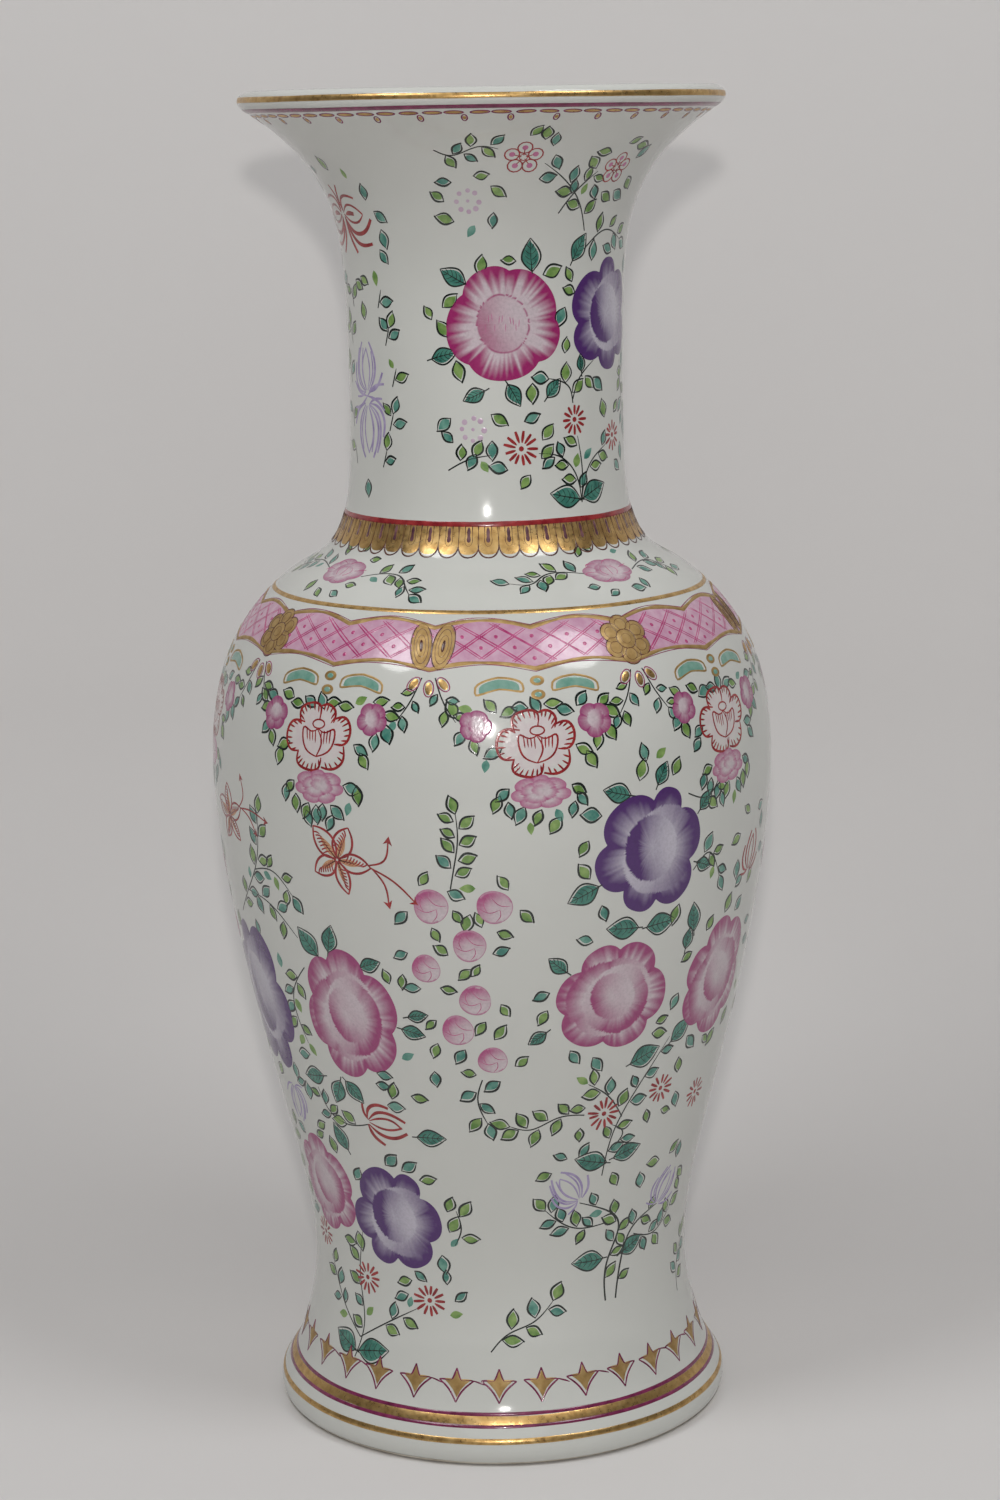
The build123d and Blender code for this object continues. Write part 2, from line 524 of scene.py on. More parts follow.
def painted_leaf(place, length, family):
    """A little leaf: a wash, and two dark arcs that miss it slightly."""
    width = length * rng.uniform(0.54, 0.66)
    slip = place.at(rng.uniform(0.1, 0.5), rng.uniform(-0.3, 0.3))
    blob(slip, family, leaf_outline(length * 0.88, width * 0.84), WASH)
    if rng.random() < 0.08:
        return
    bow = width * 0.54
    heavy = rng.uniform(0.52, 0.70)
    over = [(-0.4, 0), (length * 0.42, bow), (length + 0.4, 0)]
    under = [(-0.2, 0), (length * 0.48, -bow), (length, 0)]
    stroke(place, LINE, over, heavy, (0.5, 0.7), INK)
    stroke(place, LINE, under, heavy * 0.85, (0.5, 0.4), INK)


def leaves():
    """Paint the waiting leaves, but for those that would lie on a flower or on another leaf."""
    flower_angle, flower_arc, shares = (np.array(part) for part in zip(*FLOWERS))
    taken = np.zeros((0, 3))
    for place, length, family, room in WAITING:
        angle, arc = place.move((length * 0.5, 0))
        radius = np.interp(arc, ARC, OUTER[:, 0])
        across = ((angle - flower_angle + math.pi) % FULL_TURN - math.pi) * radius
        offset = np.stack([across, arc - flower_arc], axis=1)
        if (np.linalg.norm(np.einsum("kij,kj->ki", shares, offset), axis=1) < 1.0).any():
            continue
        across = ((angle - taken[:, 0] + math.pi) % FULL_TURN - math.pi) * radius
        if (np.hypot(across, arc - taken[:, 1]) < taken[:, 2] + room).any():
            continue
        taken = np.append(taken, [[angle, arc, room]], axis=0)
        painted_leaf(place, length, family)


def either(share=0.5):
    """Yellow green or teal."""
    return GREEN if rng.random() < share else TEAL


def twig(place, route, count, size=4.4, spread=50, width=0.42, first=0.12):
    """A thin stem with little leaves on both sides, and one at its tip."""
    stroke(place, LINE, route, width, (0.9, 0.45), STEM)
    line = spline(route, 50)
    for i in range(count):
        share = first + (0.96 - first) * (i + 0.5) / count
        k = int(share * 48)
        side = 1 if i % 2 else -1
        turn = heading(line[k], line[k + 1]) + side * (spread + rng.uniform(-14, 14))
        here = place.at(*line[k], turn).at(rng.uniform(0.7, 1.3), 0)
        leaf(here, size * rng.uniform(0.85, 1.15), either(0.55))
    turn = heading(line[-3], line[-1]) + rng.uniform(-15, 15)
    leaf(place.at(*line[-1], turn), size * 1.1, either())


def twigs(place, size, routes):
    """Twigs with leaves of one size: how many leaves each has, and its route."""
    for count, route in routes:
        twig(place, route, count, size)


def wreath(place, radius, count, size=4.2, first=0, last=360):
    """Little leaves round a flower, each lying half along the ring and half outwards."""
    for i in range(count):
        turn = first + (last - first) * (i + 0.5) / count + rng.uniform(-6, 6)
        ring = radius + rng.uniform(-0.5, 0.9)
        here = place.at(*polar(ring, turn))
        lean = rng.choice((-1, 1)) * rng.uniform(25, 75)
        leaf(here.at(0, 0, turn + lean), size * rng.uniform(0.85, 1.2), either())


def veined_leaf(place, length, broad=0.56):
    """A big leaf along the place's right, with a midrib and side veins."""
    width = length * broad
    keep_clear(place.at(length * 0.5, 0), length * 0.55, width * 0.7)
    blob(place.at(0.3, 0.2), SEA, leaf_outline(length * 0.95, width * 0.92, 11), WASH)
    for side in (-1, 1):
        bow = side * width * 0.52
        stroke(place, LINE, [(0, 0), (length * 0.40, bow), (length + 0.5, 0)], 0.5, (0.6, 0.5), INK)
        for k in range(1, 5):
            root = length * (0.04 + 0.17 * k)
            reach = width * 0.34 * math.sin(math.pi * (0.14 + 0.17 * k))
            vein = [(root, 0), (root + 0.5, side * reach * 0.6), (root + 1.3, side * reach)]
            stroke(place, LINE, vein, 0.28, (0.9, 0.4), INK)
    stroke(place, LINE, [(-1.4, 0), (length * 0.5, 0.15), (length, 0)], 0.42, (0.9, 0.4), INK)


def about(place, x, y, turn, length):
    """The start of a leaf whose middle is at a local point."""
    return place.at(x, y, turn).at(-length / 2, 0)


def big_leaves(place, broad, layout, spread=1.0):
    """Veined leaves: the middle, turn and length of each."""
    for x, y, turn, length in layout:
        veined_leaf(about(place, x * spread, y * spread, turn, length), length, broad)


# --- Flowers ---------------------------------------------------------------------------------------
PALE_ROSE = (0.60, 0.51, 0.55)
DEEP_ROSE = (0.33, 0.02, 0.135)
SOFT_ROSE = (0.33, 0.055, 0.175)
PALE_PURPLE = (0.54, 0.51, 0.59)
DEEP_PURPLE = (0.075, 0.02, 0.145)
BUD_PALE = (0.60, 0.52, 0.55)
BUD_DEEP = (0.42, 0.08, 0.22)
# A flower that may have a wreath of leaves round it returns its place
BIG = (260, 34)  # points round a big flower, and rings
SMALL = (96, 14)
HAIRS = 110  # brush hairs that streak a row of petals
NOTCH_CURVE = 2.6  # how sharply a petal's rim turns in at its gaps


def notched(angle, notches, turn):
    """How near an angle is to a gap between two petals: 0 at the middle of a petal, 1 at a gap."""
    if not notches:
        return np.zeros_like(angle)
    marks = np.sort(np.radians(np.add(notches, turn)) % FULL_TURN)
    marks = np.append(marks, marks[0] + FULL_TURN)
    around = (angle - marks[0]) % FULL_TURN + marks[0]
    k = np.clip(np.searchsorted(marks, around, side="right") - 1, 0, len(marks) - 2)
    return np.abs(2 * (around - marks[k]) / (marks[k + 1] - marks[k]) - 1)


def row(reach, notches, depth, fade, strength, centre=(0.0, 0.0), side=None, streak=0.35):
    """One row of petals, in shares of the flower's radius.

    It says how far they reach, the angles of the notches between them and their depth, how far in
    the colour fades, its strength, the row's centre, the side that the colour is on, if it is on one,
    and how strongly the brush streaked it.
    """
    return reach, notches, depth, fade, strength, centre, side, streak


def bloom(place, family, radius, rows, pale, deep, squash=1.0, turn=0, fine=SMALL):
    """A brush-shaded flower, darkest at the rims of its rows of petals, given from the outside in."""
    keep_clear(place, radius, radius * squash)
    dice = np.random.default_rng(rng.randrange(10**6))
    around = evenly(fine[0])
    wilful = 1 + 0.02 * np.sin(2 * around + dice.uniform(0, 6))
    wilful = wilful + 0.025 * np.sin(3 * around + dice.uniform(0, 6))
    outer = wilful * (1 - rows[0][2] * notched(around, rows[0][1], turn) ** NOTCH_CURVE)
    share = np.linspace(1.0, 0.04, fine[1])[:, None]
    across = share * outer * np.cos(around)
    up = share * outer * np.sin(around)
    tone = np.zeros_like(across)
    c, s = polar(1.0, turn)
    for reach, notches, depth, fade, strength, (x, y), side, streak in rows:
        x, y = c * x - s * y, s * x + c * y
        hairs = np.append(dice.uniform(0, 1, HAIRS), 0.5)
        angle = np.arctan2(up - y, across - x)
        nearness = notched(angle, notches, turn)
        wander = wilful if reach == 1.0 else 1 + 0.05 * np.sin(2 * angle + 9 * reach)
        rim = reach * wander * (1 - depth * nearness**NOTCH_CURVE)
        away = np.hypot(across - x, up - y)
        inside = rim - away
        hair = np.interp((angle / FULL_TURN % 1) * HAIRS, np.arange(HAIRS + 1), hairs)
        lit = 1.0
        if side is not None:
            lean = np.cos(angle - math.radians(side + turn)) * np.clip(1.5 * away / rim, 0, 1)
            lit = ((1 + lean) / 2) ** 1.4
        fall = np.clip(inside / (fade * (1 + streak * 0.7 * (hair - 0.5))), 0, 1)
        shade = strength * lit * (1 - fall**1.3) * (1 + streak * 0.34 * (hair - 0.7))
        seam = nearness**12 * np.clip(1 - inside / (2.2 * fade), 0, 1)
        shade = shade + 0.35 * strength * lit * seam
        tone = np.where(inside > -1e-6, np.clip(shade, 0, 1), tone)
    tints = np.array(pale) + (np.array(deep) - np.array(pale)) * tone[..., None]
    local = np.stack([across * radius, up * radius * squash], axis=-1)
    lift = EDGE + (0.028 + 0.02 * tone) * np.clip((1 - share) * 12, 0, 1)
    middle = tints[-1].mean(axis=0)
    place.paint[family].grid(place.put(local, lift), True, place.put((0.0, 0.0), 0.045), tints, middle)


ROUND_ROSE = [
    row(1.0, (85, 4, -48, -132, 145), 0.11, 0.38, 1.2, streak=1.5),
    row(0.475, (), 0.0, 0.05, 0.95, (-0.03, 0.0)),
    row(0.455, (), 0.0, 0.80, 0.75, (-0.03, 0.0), 200),
]
PETALLED_ROSE = [
    row(1.0, (88, 30, -38, -100, -165, 140), 0.16, 0.36, 1.15, streak=1.1),
    row(0.74, (95, 215), 0.12, 0.30, 1.1, (-0.10, 0.02), 150),
    row(0.62, (30, 250), 0.10, 0.36, 1.3, (0.06, -0.06), -50),
    row(0.42, (60,), 0.10, 0.40, 1.1, (-0.03, 0.03), 195),
]
PURPLE_PEONY = [
    row(1.0, (90, 48, -19, -82, -130, 168), 0.21, 0.56, 1.2, streak=0.42),
    row(0.70, (35, 140, 260), 0.06, 0.50, 1.1, (0.18, -0.02), -5),
    row(0.50, (), 0.0, 0.62, 1.7, (-0.02, 0.04), 185),
]


def round_rose(place, radius):
    """A rose of five broad petals round a disc drawn with a thin line, hatched inside."""
    bloom(place, SHADED, radius, ROUND_ROSE, PALE_ROSE, DEEP_ROSE, fine=BIG)
    for k in range(11):
        x = radius * (-0.34 + 0.06 * k) + rng.uniform(-0.2, 0.2)
        y = radius * (0.30 - 0.6 * abs(x / radius + 0.03)) * rng.choice((1.0, 0.5, 0.0))
        hatch = [(x, y), (x + rng.uniform(-0.3, 0.3), y - radius * 0.13)]
        stroke(place, PINK, hatch, 0.34, (0.5, 0.3), 0.09)


def rose(place, radius, squash=1.0, turn=0):
    """A rose of broad scalloped petals with crescents of colour inside."""
    bloom(place, SHADED, radius, PETALLED_ROSE, PALE_ROSE, SOFT_ROSE, squash, turn, BIG)
    return place


def purple_peony(place, radius, squash=1.0, turn=0):
    """A purple peony of six broad petals round a heart that is dark on its left."""
    bloom(place, VIOLET, radius, PURPLE_PEONY, PALE_PURPLE, DEEP_PURPLE, squash, turn, BIG)
    return place


def small_rose(place, radius):
    """A blotchy pink rose a few millimetres across."""
    first = rng.uniform(0, 60)
    rows = [
        row(1.0, (first, first + 80, first + 150, first + 220, first + 290), 0.14, 0.85, 1.0),
        row(0.5, (), 0.0, 0.5, 1.0, (0.05, 0.05), rng.uniform(0, 360)),
    ]
    bloom(place, SHADED, radius, rows, BUD_PALE, SOFT_ROSE)


def rosebud(place, radius):
    """A pale globular bud with a darker shoulder and a few petal lines."""
    side = rng.uniform(100, 150)
    rows = [row(1.0, (), 0.0, 0.20, 0.85), row(0.93, (), 0.0, 1.1, 1.1, (0.0, 0.0), side)]
    bloom(place, SHADED, radius, rows, BUD_PALE, BUD_DEEP)
    lines = [
        [(-0.80, -0.10), (-0.3, -0.34), (0.30, -0.15)],
        [(-0.15, 0.55), (0.30, 0.10), (0.88, 0.05)],
        [(0.30, -0.15), (0.34, -0.50), (0.05, -0.90)],
        [(-0.45, 0.60), (-0.60, 0.20), (-0.42, -0.28)],
    ]
    for line in lines:
        stroke(place, MAGENTA, [(radius * x, radius * y) for x, y in line], 0.36, (0.6, 0.4), 0.08)


OUTER_PETALS = [
    [(-6, 3.7), (-6.4, 7.6), (-3, 9.4), (-0.2, 8.9), (0, 5.2)],
    [(0, 8.6), (2.6, 9.2), (4.8, 7.2), (4.4, 4.6)],
    [(-4.7, 4.4), (-9, 4.4), (-10.9, 0.6), (-9.4, -2.8), (-6.4, -3)],
    [(4.4, 5.4), (7.8, 6), (9.6, 2.7), (7.8, -0.8), (5, -0.8)],
    [(-6.6, -3), (-7, -5.8), (-3.8, -7.6), (0, -7.2), (1, -4.4)],
    [(1, -6.8), (4.4, -7.2), (7.6, -5.1), (7.8, -1.2)],
]
HEART_PETALS = [
    [(-0.2, 2.9), (-2.6, 2.2), (-4.8, 3.2), (-5.1, 0), (-3.4, -3), (-0.6, -4.2)],
    [(-0.2, 2.9), (2.2, 2), (4.6, 2.9), (4.7, -0.4), (2.6, -3.1), (-0.6, -4.2)],
    [(-0.3, 2.6), (1, 0), (-0.6, -4.1)],
]


def garland_peony(place):
    """A peony drawn in iron red lines over a faint wash: a two-petalled heart in a ring of petals."""
    keep_clear(place, 10, 8.6)
    for petal in OUTER_PETALS:
        stroke(place, RED, petal, 0.74, (0.7, 0.6))
        edge = spline(petal, 30)[4:26]
        count = 7 if len(petal) > 4 else 5
        for k in np.linspace(1, 20, count).astype(int):
            inner = edge[k] * (1 - rng.uniform(1.6, 2.4) / np.linalg.norm(edge[k]))
            stroke(place, RED, [tuple(edge[k]), tuple(inner)], 0.50, (0.9, 0.3))
    for petal in HEART_PETALS:
        stroke(place, RED, petal, 0.68, (0.7, 0.6))
    for k in range(9):
        x = -3.9 + 0.95 * k
        if abs(x + 0.1) > 0.3:
            top = 2.2 + 0.12 * abs(x)
            stripe = [(x, top), (x * 0.93, top - rng.uniform(2.6, 3.6))]
            stroke(place, RED, stripe, 0.54, (0.9, 0.3))
    loop(place.at(-0.2, 4.1), RED, circle(1.9, 14, squash=0.6), 0.58)


def pale_rose(place, half, tall):
    """A wide pink rose seen from the side, its petals edged with colour."""
    rows = [
        row(1, (12, 70, 110, 168, 215, 270, 325), 0.16, 0.42, 0.85),
        row(0.66, (20, 120, 200, 300), 0.14, 0.30, 0.8, (-0.05, 0.05)),
        row(0.34, (90,), 0.10, 0.30, 0.7, (0.02, 0.12), 160),
    ]
    bloom(place, SHADED, half, rows, BUD_PALE, BUD_DEEP, tall / half)


def aster(place, radius=4.2, petals=12):
    """A ring of short iron red dashes round a dot."""
    keep_clear(place, radius * 1.1)
    for k in range(petals):
        here = place.at(0, 0, 360 / petals * k + rng.uniform(-4, 4))
        stroke(here, RED, [(radius * 0.34, 0), (radius * rng.uniform(0.9, 1.05), 0)], 0.85, (0.4, 0.75))
    blob(place, RED, circle(0.75, 8))
    return place


def chrysanthemum(place, family, size=1):
    """A half-open flower along the place's right: long curved strokes, thick at their outer ends."""
    strokes = [
        ([(0, 0.9), (0.6, 4), (3.4, 5.8), (6.8, 5.4)], 1),
        ([(0.3, 0.6), (3, 3.3), (7.2, 3.7), (11.4, 2)], 0.95),
        ([(0.5, 0.3), (4, 1.8), (7.8, 1.6), (10.2, 0.2)], 0.7),
        ([(0.5, -0.1), (3.6, -1.1), (7.4, -1), (10.2, 0.2)], 0.7),
        ([(0.3, -0.8), (3.4, -3), (7.8, -3.4), (11.6, -1.2)], 1.05),
        ([(0, -0.8), (1.3, -3.8), (4.8, -6.2)], 1.05),
        ([(0.2, 0.6), (-0.9, 2.4), (-1.2, 5.2)], 0.8),
    ]
    if family == LILAC:
        strokes = [(route, 0.7 * width) for route, width in strokes]
        strokes.append(([(0.5, 0.5), (4.6, 2.1), (10.4, 1.4)], 0.5))
        strokes.append(([(0.5, -0.4), (4.6, -2.5), (10, -2)], 0.5))
        strokes.append(([(0.2, 0.8), (2, 3.6), (7.4, 4.4), (10.2, 3.4)], 0.6))
    keep_clear(place.at(6.0 * size, -0.5 * size), 6.6 * size, 6.2 * size)
    for route, width in strokes:
        moved = [(size * x * rng.uniform(0.96, 1.04), size * y) for x, y in route]
        stroke(place, family, moved, width * size, (0.3, 0.8), 0.08)


def prunus(place, radius):
    """Five round petals in outline, with stamens."""
    keep_clear(place, radius * 1.05)
    for k in range(5):
        here = place.at(0, 0, 72 * k + 18)
        loop(here.at(radius * 0.62, 0), RED, circle(radius * 0.37, 12), 0.42)
        blob(here.at(radius * 0.62, 0), PINK, circle(radius * 0.16, 8), 0.03)
        stroke(here, RED, [(radius * 0.1, 0), (radius * 0.5, 0)], 0.3, (0.5, 0.9))
    loop(place, RED, circle(radius * 0.2, 9), 0.3)
    return place


def dotted_flower(place, radius):
    """A ring of pale dots round one more."""
    keep_clear(place, radius * 1.4)
    dots = 8
    for k in range(dots):
        angle = 2 * math.pi * k / dots + rng.uniform(-0.15, 0.15)
        centre = (radius * math.cos(angle), radius * math.sin(angle))
        blob(place, MAUVE, circle(rng.uniform(0.6, 0.85), 8, centre), 0.04)
    blob(place, MAUVE, circle(0.5, 8), 0.04)
    return place


def butterfly_flower(place, size=1):
    """Five pointed petals hatched in iron red, with three arrow-tipped tendrils."""
    petals = [(130, 10.8, 2.7), (66, 9.6, 2.7), (-8, 9.8, 2.3), (-74, 9.4, 1.8), (208, 8.4, 2.5)]
    for turn, reach, broad in petals:
        here = place.at(0, 0, turn, size)
        keep_clear(here.at(reach * 0.5, 0), reach * 0.5, broad)
        blob(here.at(0.5, 0), AMBER, leaf_outline(reach * 0.68, broad * 0.8), 0.03)
        for side in (-1, 1):
            shoulder = (reach * 0.35, side * broad)
            edge = [(0.4, 0), shoulder, (reach * 0.75, side * broad * 0.8), (reach, 0)]
            stroke(here, RED, edge, 0.68, (0.7, 0.6), 0.08)
        for k in range(7):
            x = reach * (0.34 + 0.09 * k)
            y = broad * (0.85 - 0.09 * k)
            stroke(here, RED, [(x, y), (x - 0.6, y * 0.2), (x - 1.6, -y * 0.3)], 0.42, (0.9, 0.3), 0.07)
        stroke(here, UMBER, [(0.5, 0), (reach * 0.55, 0.2)], 0.42, (1, 0.3), 0.09)
    here = place.at(0, 0, 0, size)
    tendrils = [
        [(9.4, -0.6), (13.4, 0.8), (15, 6.2)],
        [(9.4, -1.2), (15.6, -4.4), (21, -9.8)],
        [(10.2, -1.6), (13.2, -5.6), (13.8, -10.8)],
    ]
    for route in tendrils:
        stroke(here, RED, route, 0.54, (0.8, 0.7))
        end = here.at(*route[2], heading(route[1], route[2]) + 6)
        barb = [(1.3, 0), (-1.1, 1.3), (-0.4, 0), (-1.1, -1.3)]
        blob(end, RED, barb, 0.07)


# --- Glaze, foot and ring lines --------------------------------------------------------------------
def porcelain():
    """The continuous glaze, from the foot's edge over the lip and down to the floor inside."""
    angle = evenly(360)
    start = np.searchsorted(OUTER[:, 1], GLAZE_EDGE)
    outside = np.stack([glaze(angle, arc, 0.0) for arc in [*ARC[start::8], ARC[-1]]])
    lined = (OUTER[:, 1] > BELLY[0][1]) & (OUTER[:, 1] < LIP[0][1])
    wall = (OUTER - WALL * OUTER_NORMAL)[lined][::-60]
    inside = spline([OUTER[-1], INNER_LIP, *wall, *FLOOR], 220)
    lining = turned(inside[1:-1, :1], inside[1:-1, 1:], angle)
    layer = Layer()
    layer.grid(np.concatenate([outside, lining]), True, np.array([0, 0, FLOOR[-1][1] * MM]))
    hidden = ["glaze_coat", "neck", "neck_luting_slip", "upper_body", "belly_luting_slip", "lower_body"]
    build("glazed_porcelain", layer, GLAZE, [*hidden, "foot_luting_slip"])


def foot():
    """The bare ring that the vase stands on, and the glazed hollow inside it."""
    angle = evenly(256)
    edge = OUTER[OUTER[:, 1] <= GLAZE_EDGE + 0.15][::-8]
    flat = [(r, 0.0) for r in np.linspace(CONTACT[0] - 0.3, RECESS_RADIUS + 0.4, 8)]
    inner = [(RECESS_RADIUS + 0.1, 0.3), (RECESS_RADIUS, GLAZE_EDGE)]
    profile = np.array([*edge, *flat, *inner])
    bare = Layer()
    bare.grid(turned(profile[:, :1], profile[:, 1:], angle), True)
    build("bare_foot_ring", bare, BISCUIT, ["foot_ring"])
    bend = np.linspace(0, math.pi / 2, 9)
    corner = RECESS_RADIUS - RECESS_CORNER * (1 - np.cos(bend))
    rise = RECESS_TOP - RECESS_CORNER * (1 - np.sin(bend))
    wall = [(RECESS_RADIUS, h) for h in (GLAZE_EDGE - 0.1, 2.5, 3.6)]
    ceiling = [(r, RECESS_TOP) for r in (45, 36, 27, 18, 9, 2)]
    profile = np.array([*wall, *zip(corner, rise), *ceiling])
    under = Layer()
    hollow = turned(profile[:, :1], profile[:, 1:], angle)
    under.grid(hollow, True, np.array([0, 0, RECESS_TOP * MM]))
    build("glazed_underside", under, GLAZE, ["underside_glaze"])


def all_round(layer, angle, base, reach, profile):
    """A band right round the vase: its profile gives shares of a reach above a base, and lifts."""
    layer.grid(np.stack([glaze(angle, base + reach * share, lift) for share, lift in profile]), True)


def ring(layer, low, high, sway=0.10, low_edge=None):
    """A brushed line right round the vase between two heights, drifting slightly as the wheel turns."""
    angle = evenly(900)
    phases = [rng.uniform(0, 6.28) for _ in range(6)]
    drift = sum(sway / 3 * np.sin((2 + 3 * k) * angle + phases[k]) for k in range(3))
    swell = sum(sway / 3 * np.sin((5 + 8 * k) * angle + phases[3 + k]) for k in range(3))
    bottom = arc_at(low) + drift - swell / 2
    top = arc_at(high) + drift + swell / 2
    if low_edge is not None:
        bottom = bottom + low_edge(angle)
    profile = [(0.0, EDGE), (0.12, 0.072), (0.5, 0.09), (0.88, 0.072), (1.0, EDGE)]
    all_round(layer, angle, bottom, top - bottom, profile)


def bands():
    """The plain lines of the lip, collar, shoulder and foot, one piece for each CAD band."""
    plain = [
        ("lip_gilt_line", GOLD, 371.9, 373.4),
        ("rim_enamel_line", PUCE, 369.2, 370.2),
        ("collar_enamel_line", RED, 259.0, 260.4),
        ("shoulder_gilt_line", GOLD, 238.5, 239.4),
        ("foot_upper_enamel_line", PUCE, 13.3, 14.2),
        ("foot_gilt_band", GOLD, 11.25, 13.35),
        ("foot_lower_enamel_line", PUCE, 10.5, 11.3),
        ("foot_gilt_line", GOLD, 6.6, 8.1),
    ]
    for node, family, low, high in plain:
        layer = Layer()
        ring(layer, low, high)
        build(node + "_painted", layer, family, [node])


# --- Borders ---------------------------------------------------------------------------------------
GARLAND = Region("garland")
NECK_PAINT = Region("neck")
SHOULDER_PAINT = Region("shoulder")
BODY_PAINT = Region("body")

RIM_OVALS = 64
TONGUES = 48
CROWNS = 30
COMPARTMENTS = 8
COMPARTMENT = 360 / COMPARTMENTS  # degrees
FIRST_COMPARTMENT = 9.5

# Heights of the motifs' middles, and of the trellis's edges at a cusp
OVAL_HEIGHT = 368.3
BOUQUET_HEIGHT = 313
TONGUE_HEIGHT = 255.6
SPRAY_HEIGHT = 246.0
SEPARATOR_HEIGHT = 230.8
LATTICE_HEIGHT = 230.6
DROP_HEIGHT = 224.4
CARTOUCHE_HEIGHT = 221.0
GARLAND_HEIGHT = 205.8
CROWN_HEIGHT = 21.4
TRELLIS_LOW = 225.6
TRELLIS_HIGH = 235.0
LATTICE_HALF = 26.0  # from a compartment's middle to the motifs at its ends
SHORTEST_LINE = 12  # points along a diagonal, below which it is left out


def rim_border():
    """Gilt ovals in a row under the lip, with a small drop hanging below every second one."""
    paint = Region("rim")
    for k in range(RIM_OVALS):
        angle = -0.6 + 360 / RIM_OVALS * k + rng.uniform(-0.3, 0.3)
        here = paint.spot(angle, OVAL_HEIGHT, rng.uniform(-3, 3))
        oval = circle(2.5, 18, squash=0.26)
        blob(here, GOLD, oval * 0.86, 0.05)
        loop(here, PUCE, oval, 0.46)
        if k % 2:
            drop = here.at(2.6, -2.3, rng.uniform(-8, 8))
            blob(drop, GOLD, circle(0.5, 10, squash=1.6), 0.05)
            loop(drop, PUCE, circle(0.75, 14, squash=1.75), 0.42)


def mirrored(half):
    """A route over the point on its axis, from the half that is left of it."""
    return [*half, *[(-x, y) for x, y in half[-2::-1]]]


def tongue_edge(angle):
    """How far the lower edge of the collar rises between its tongues."""
    return 1.5 * (1 - np.abs(np.cos(TONGUES / 2 * angle))) ** 1.6


def collar_border():
    """A gilt band of round-ended tongues, outlined, each with a dark finger at its top."""
    layer = Layer()
    ring(layer, 251.9, 259.15, 0.05, tongue_edge)
    build("collar_gilt_tongues", layer, GOLD, ["collar_gilt_band"])
    paint = Region("collar")
    tongue = mirrored([(-2.45, 3.9), (-2.75, 0.0), (-2.5, -3.2), (-1.5, -4.7), (0, -5.2)])
    finger = mirrored([(-0.95, 3.9), (-1.0, 0.5), (-0.75, -1.3), (0, -1.9)])
    for k in range(TONGUES):
        angle = FULL_TURN / TONGUES * k + rng.uniform(-0.006, 0.006)
        here = Spot(paint, angle, arc_at(TONGUE_HEIGHT), np.eye(2))
        stroke(here, UMBER, tongue, 0.46, (0.6, 0.6), 0.16, 0.6)
        stroke(here, UMBER, finger, 0.38, (0.8, 0.8), 0.17, 0.6)
        blob(here.at(0, 1.0), DUSK, circle(0.74, 12, squash=3.6), 0.13)


def lobe_height(angle):
    """Rise of the scallops, 0 at a cusp and 1 at the top of a lobe, two lobes to a compartment."""
    return np.abs(np.sin((angle - math.radians(FIRST_COMPARTMENT)) * COMPARTMENTS))


def trellis_bottom(angle):
    """The trellis's lower edge, as distances along the outline."""
    return arc_at(TRELLIS_LOW) + 2.1 * lobe_height(angle)


def trellis_top(angle):
    """Its upper edge."""
    return arc_at(TRELLIS_HIGH) + 2.6 * lobe_height(angle)


def edge_line(layer, edge, shift, width, lift):
    """A line all round that follows a scalloped edge."""
    angle = evenly(1440)
    phase = rng.uniform(0, 6)
    half = width / 2 * (1 + 0.18 * np.sin(17 * angle + phase) + 0.12 * np.sin(41 * angle))
    middle = edge(angle) + shift + 0.08 * np.sin(23 * angle + phase)
    all_round(layer, angle, middle, half, [(-1.0, EDGE), (-0.6, lift), (0.6, lift), (1.0, EDGE)])


def trellis_ground():
    """The pale pink ground of the trellis, brushed on thinly."""
    angle = evenly(1440)
    low = trellis_bottom(angle)
    thin = 0.03
    flat = [(share, thin) for share in (0.06, 0.3, 0.5, 0.7, 0.94)]
    layer = Layer()
    all_round(layer, angle, low, trellis_top(angle) - low, [(0.0, EDGE), *flat, (1.0, EDGE)])
    build("trellis_pink_ground", layer, GROUND, ["trellis_enamel_band"])


def lattice_line(centre, start, slope):
    """One diagonal of the trellis, cut off at the scalloped edges and at the motifs either side."""
    up = np.linspace(-9, 9, 73)
    line = np.stack([start + up * slope, up], axis=1)
    angle, arc = centre.move(line)
    inside = (arc > trellis_bottom(angle) + 0.5) & (arc < trellis_top(angle) - 0.5)
    line = line[inside & (np.abs(line[:, 0]) < LATTICE_HALF)]
    if len(line) < SHORTEST_LINE:
        return
    bend = rng.uniform(-0.25, 0.25)
    middle = line[len(line) // 2] + (bend, bend)
    stroke(centre, MAGENTA, [line[0], middle, line[-1]], rng.uniform(0.3, 0.5), (0.7, 0.5), 0.07)


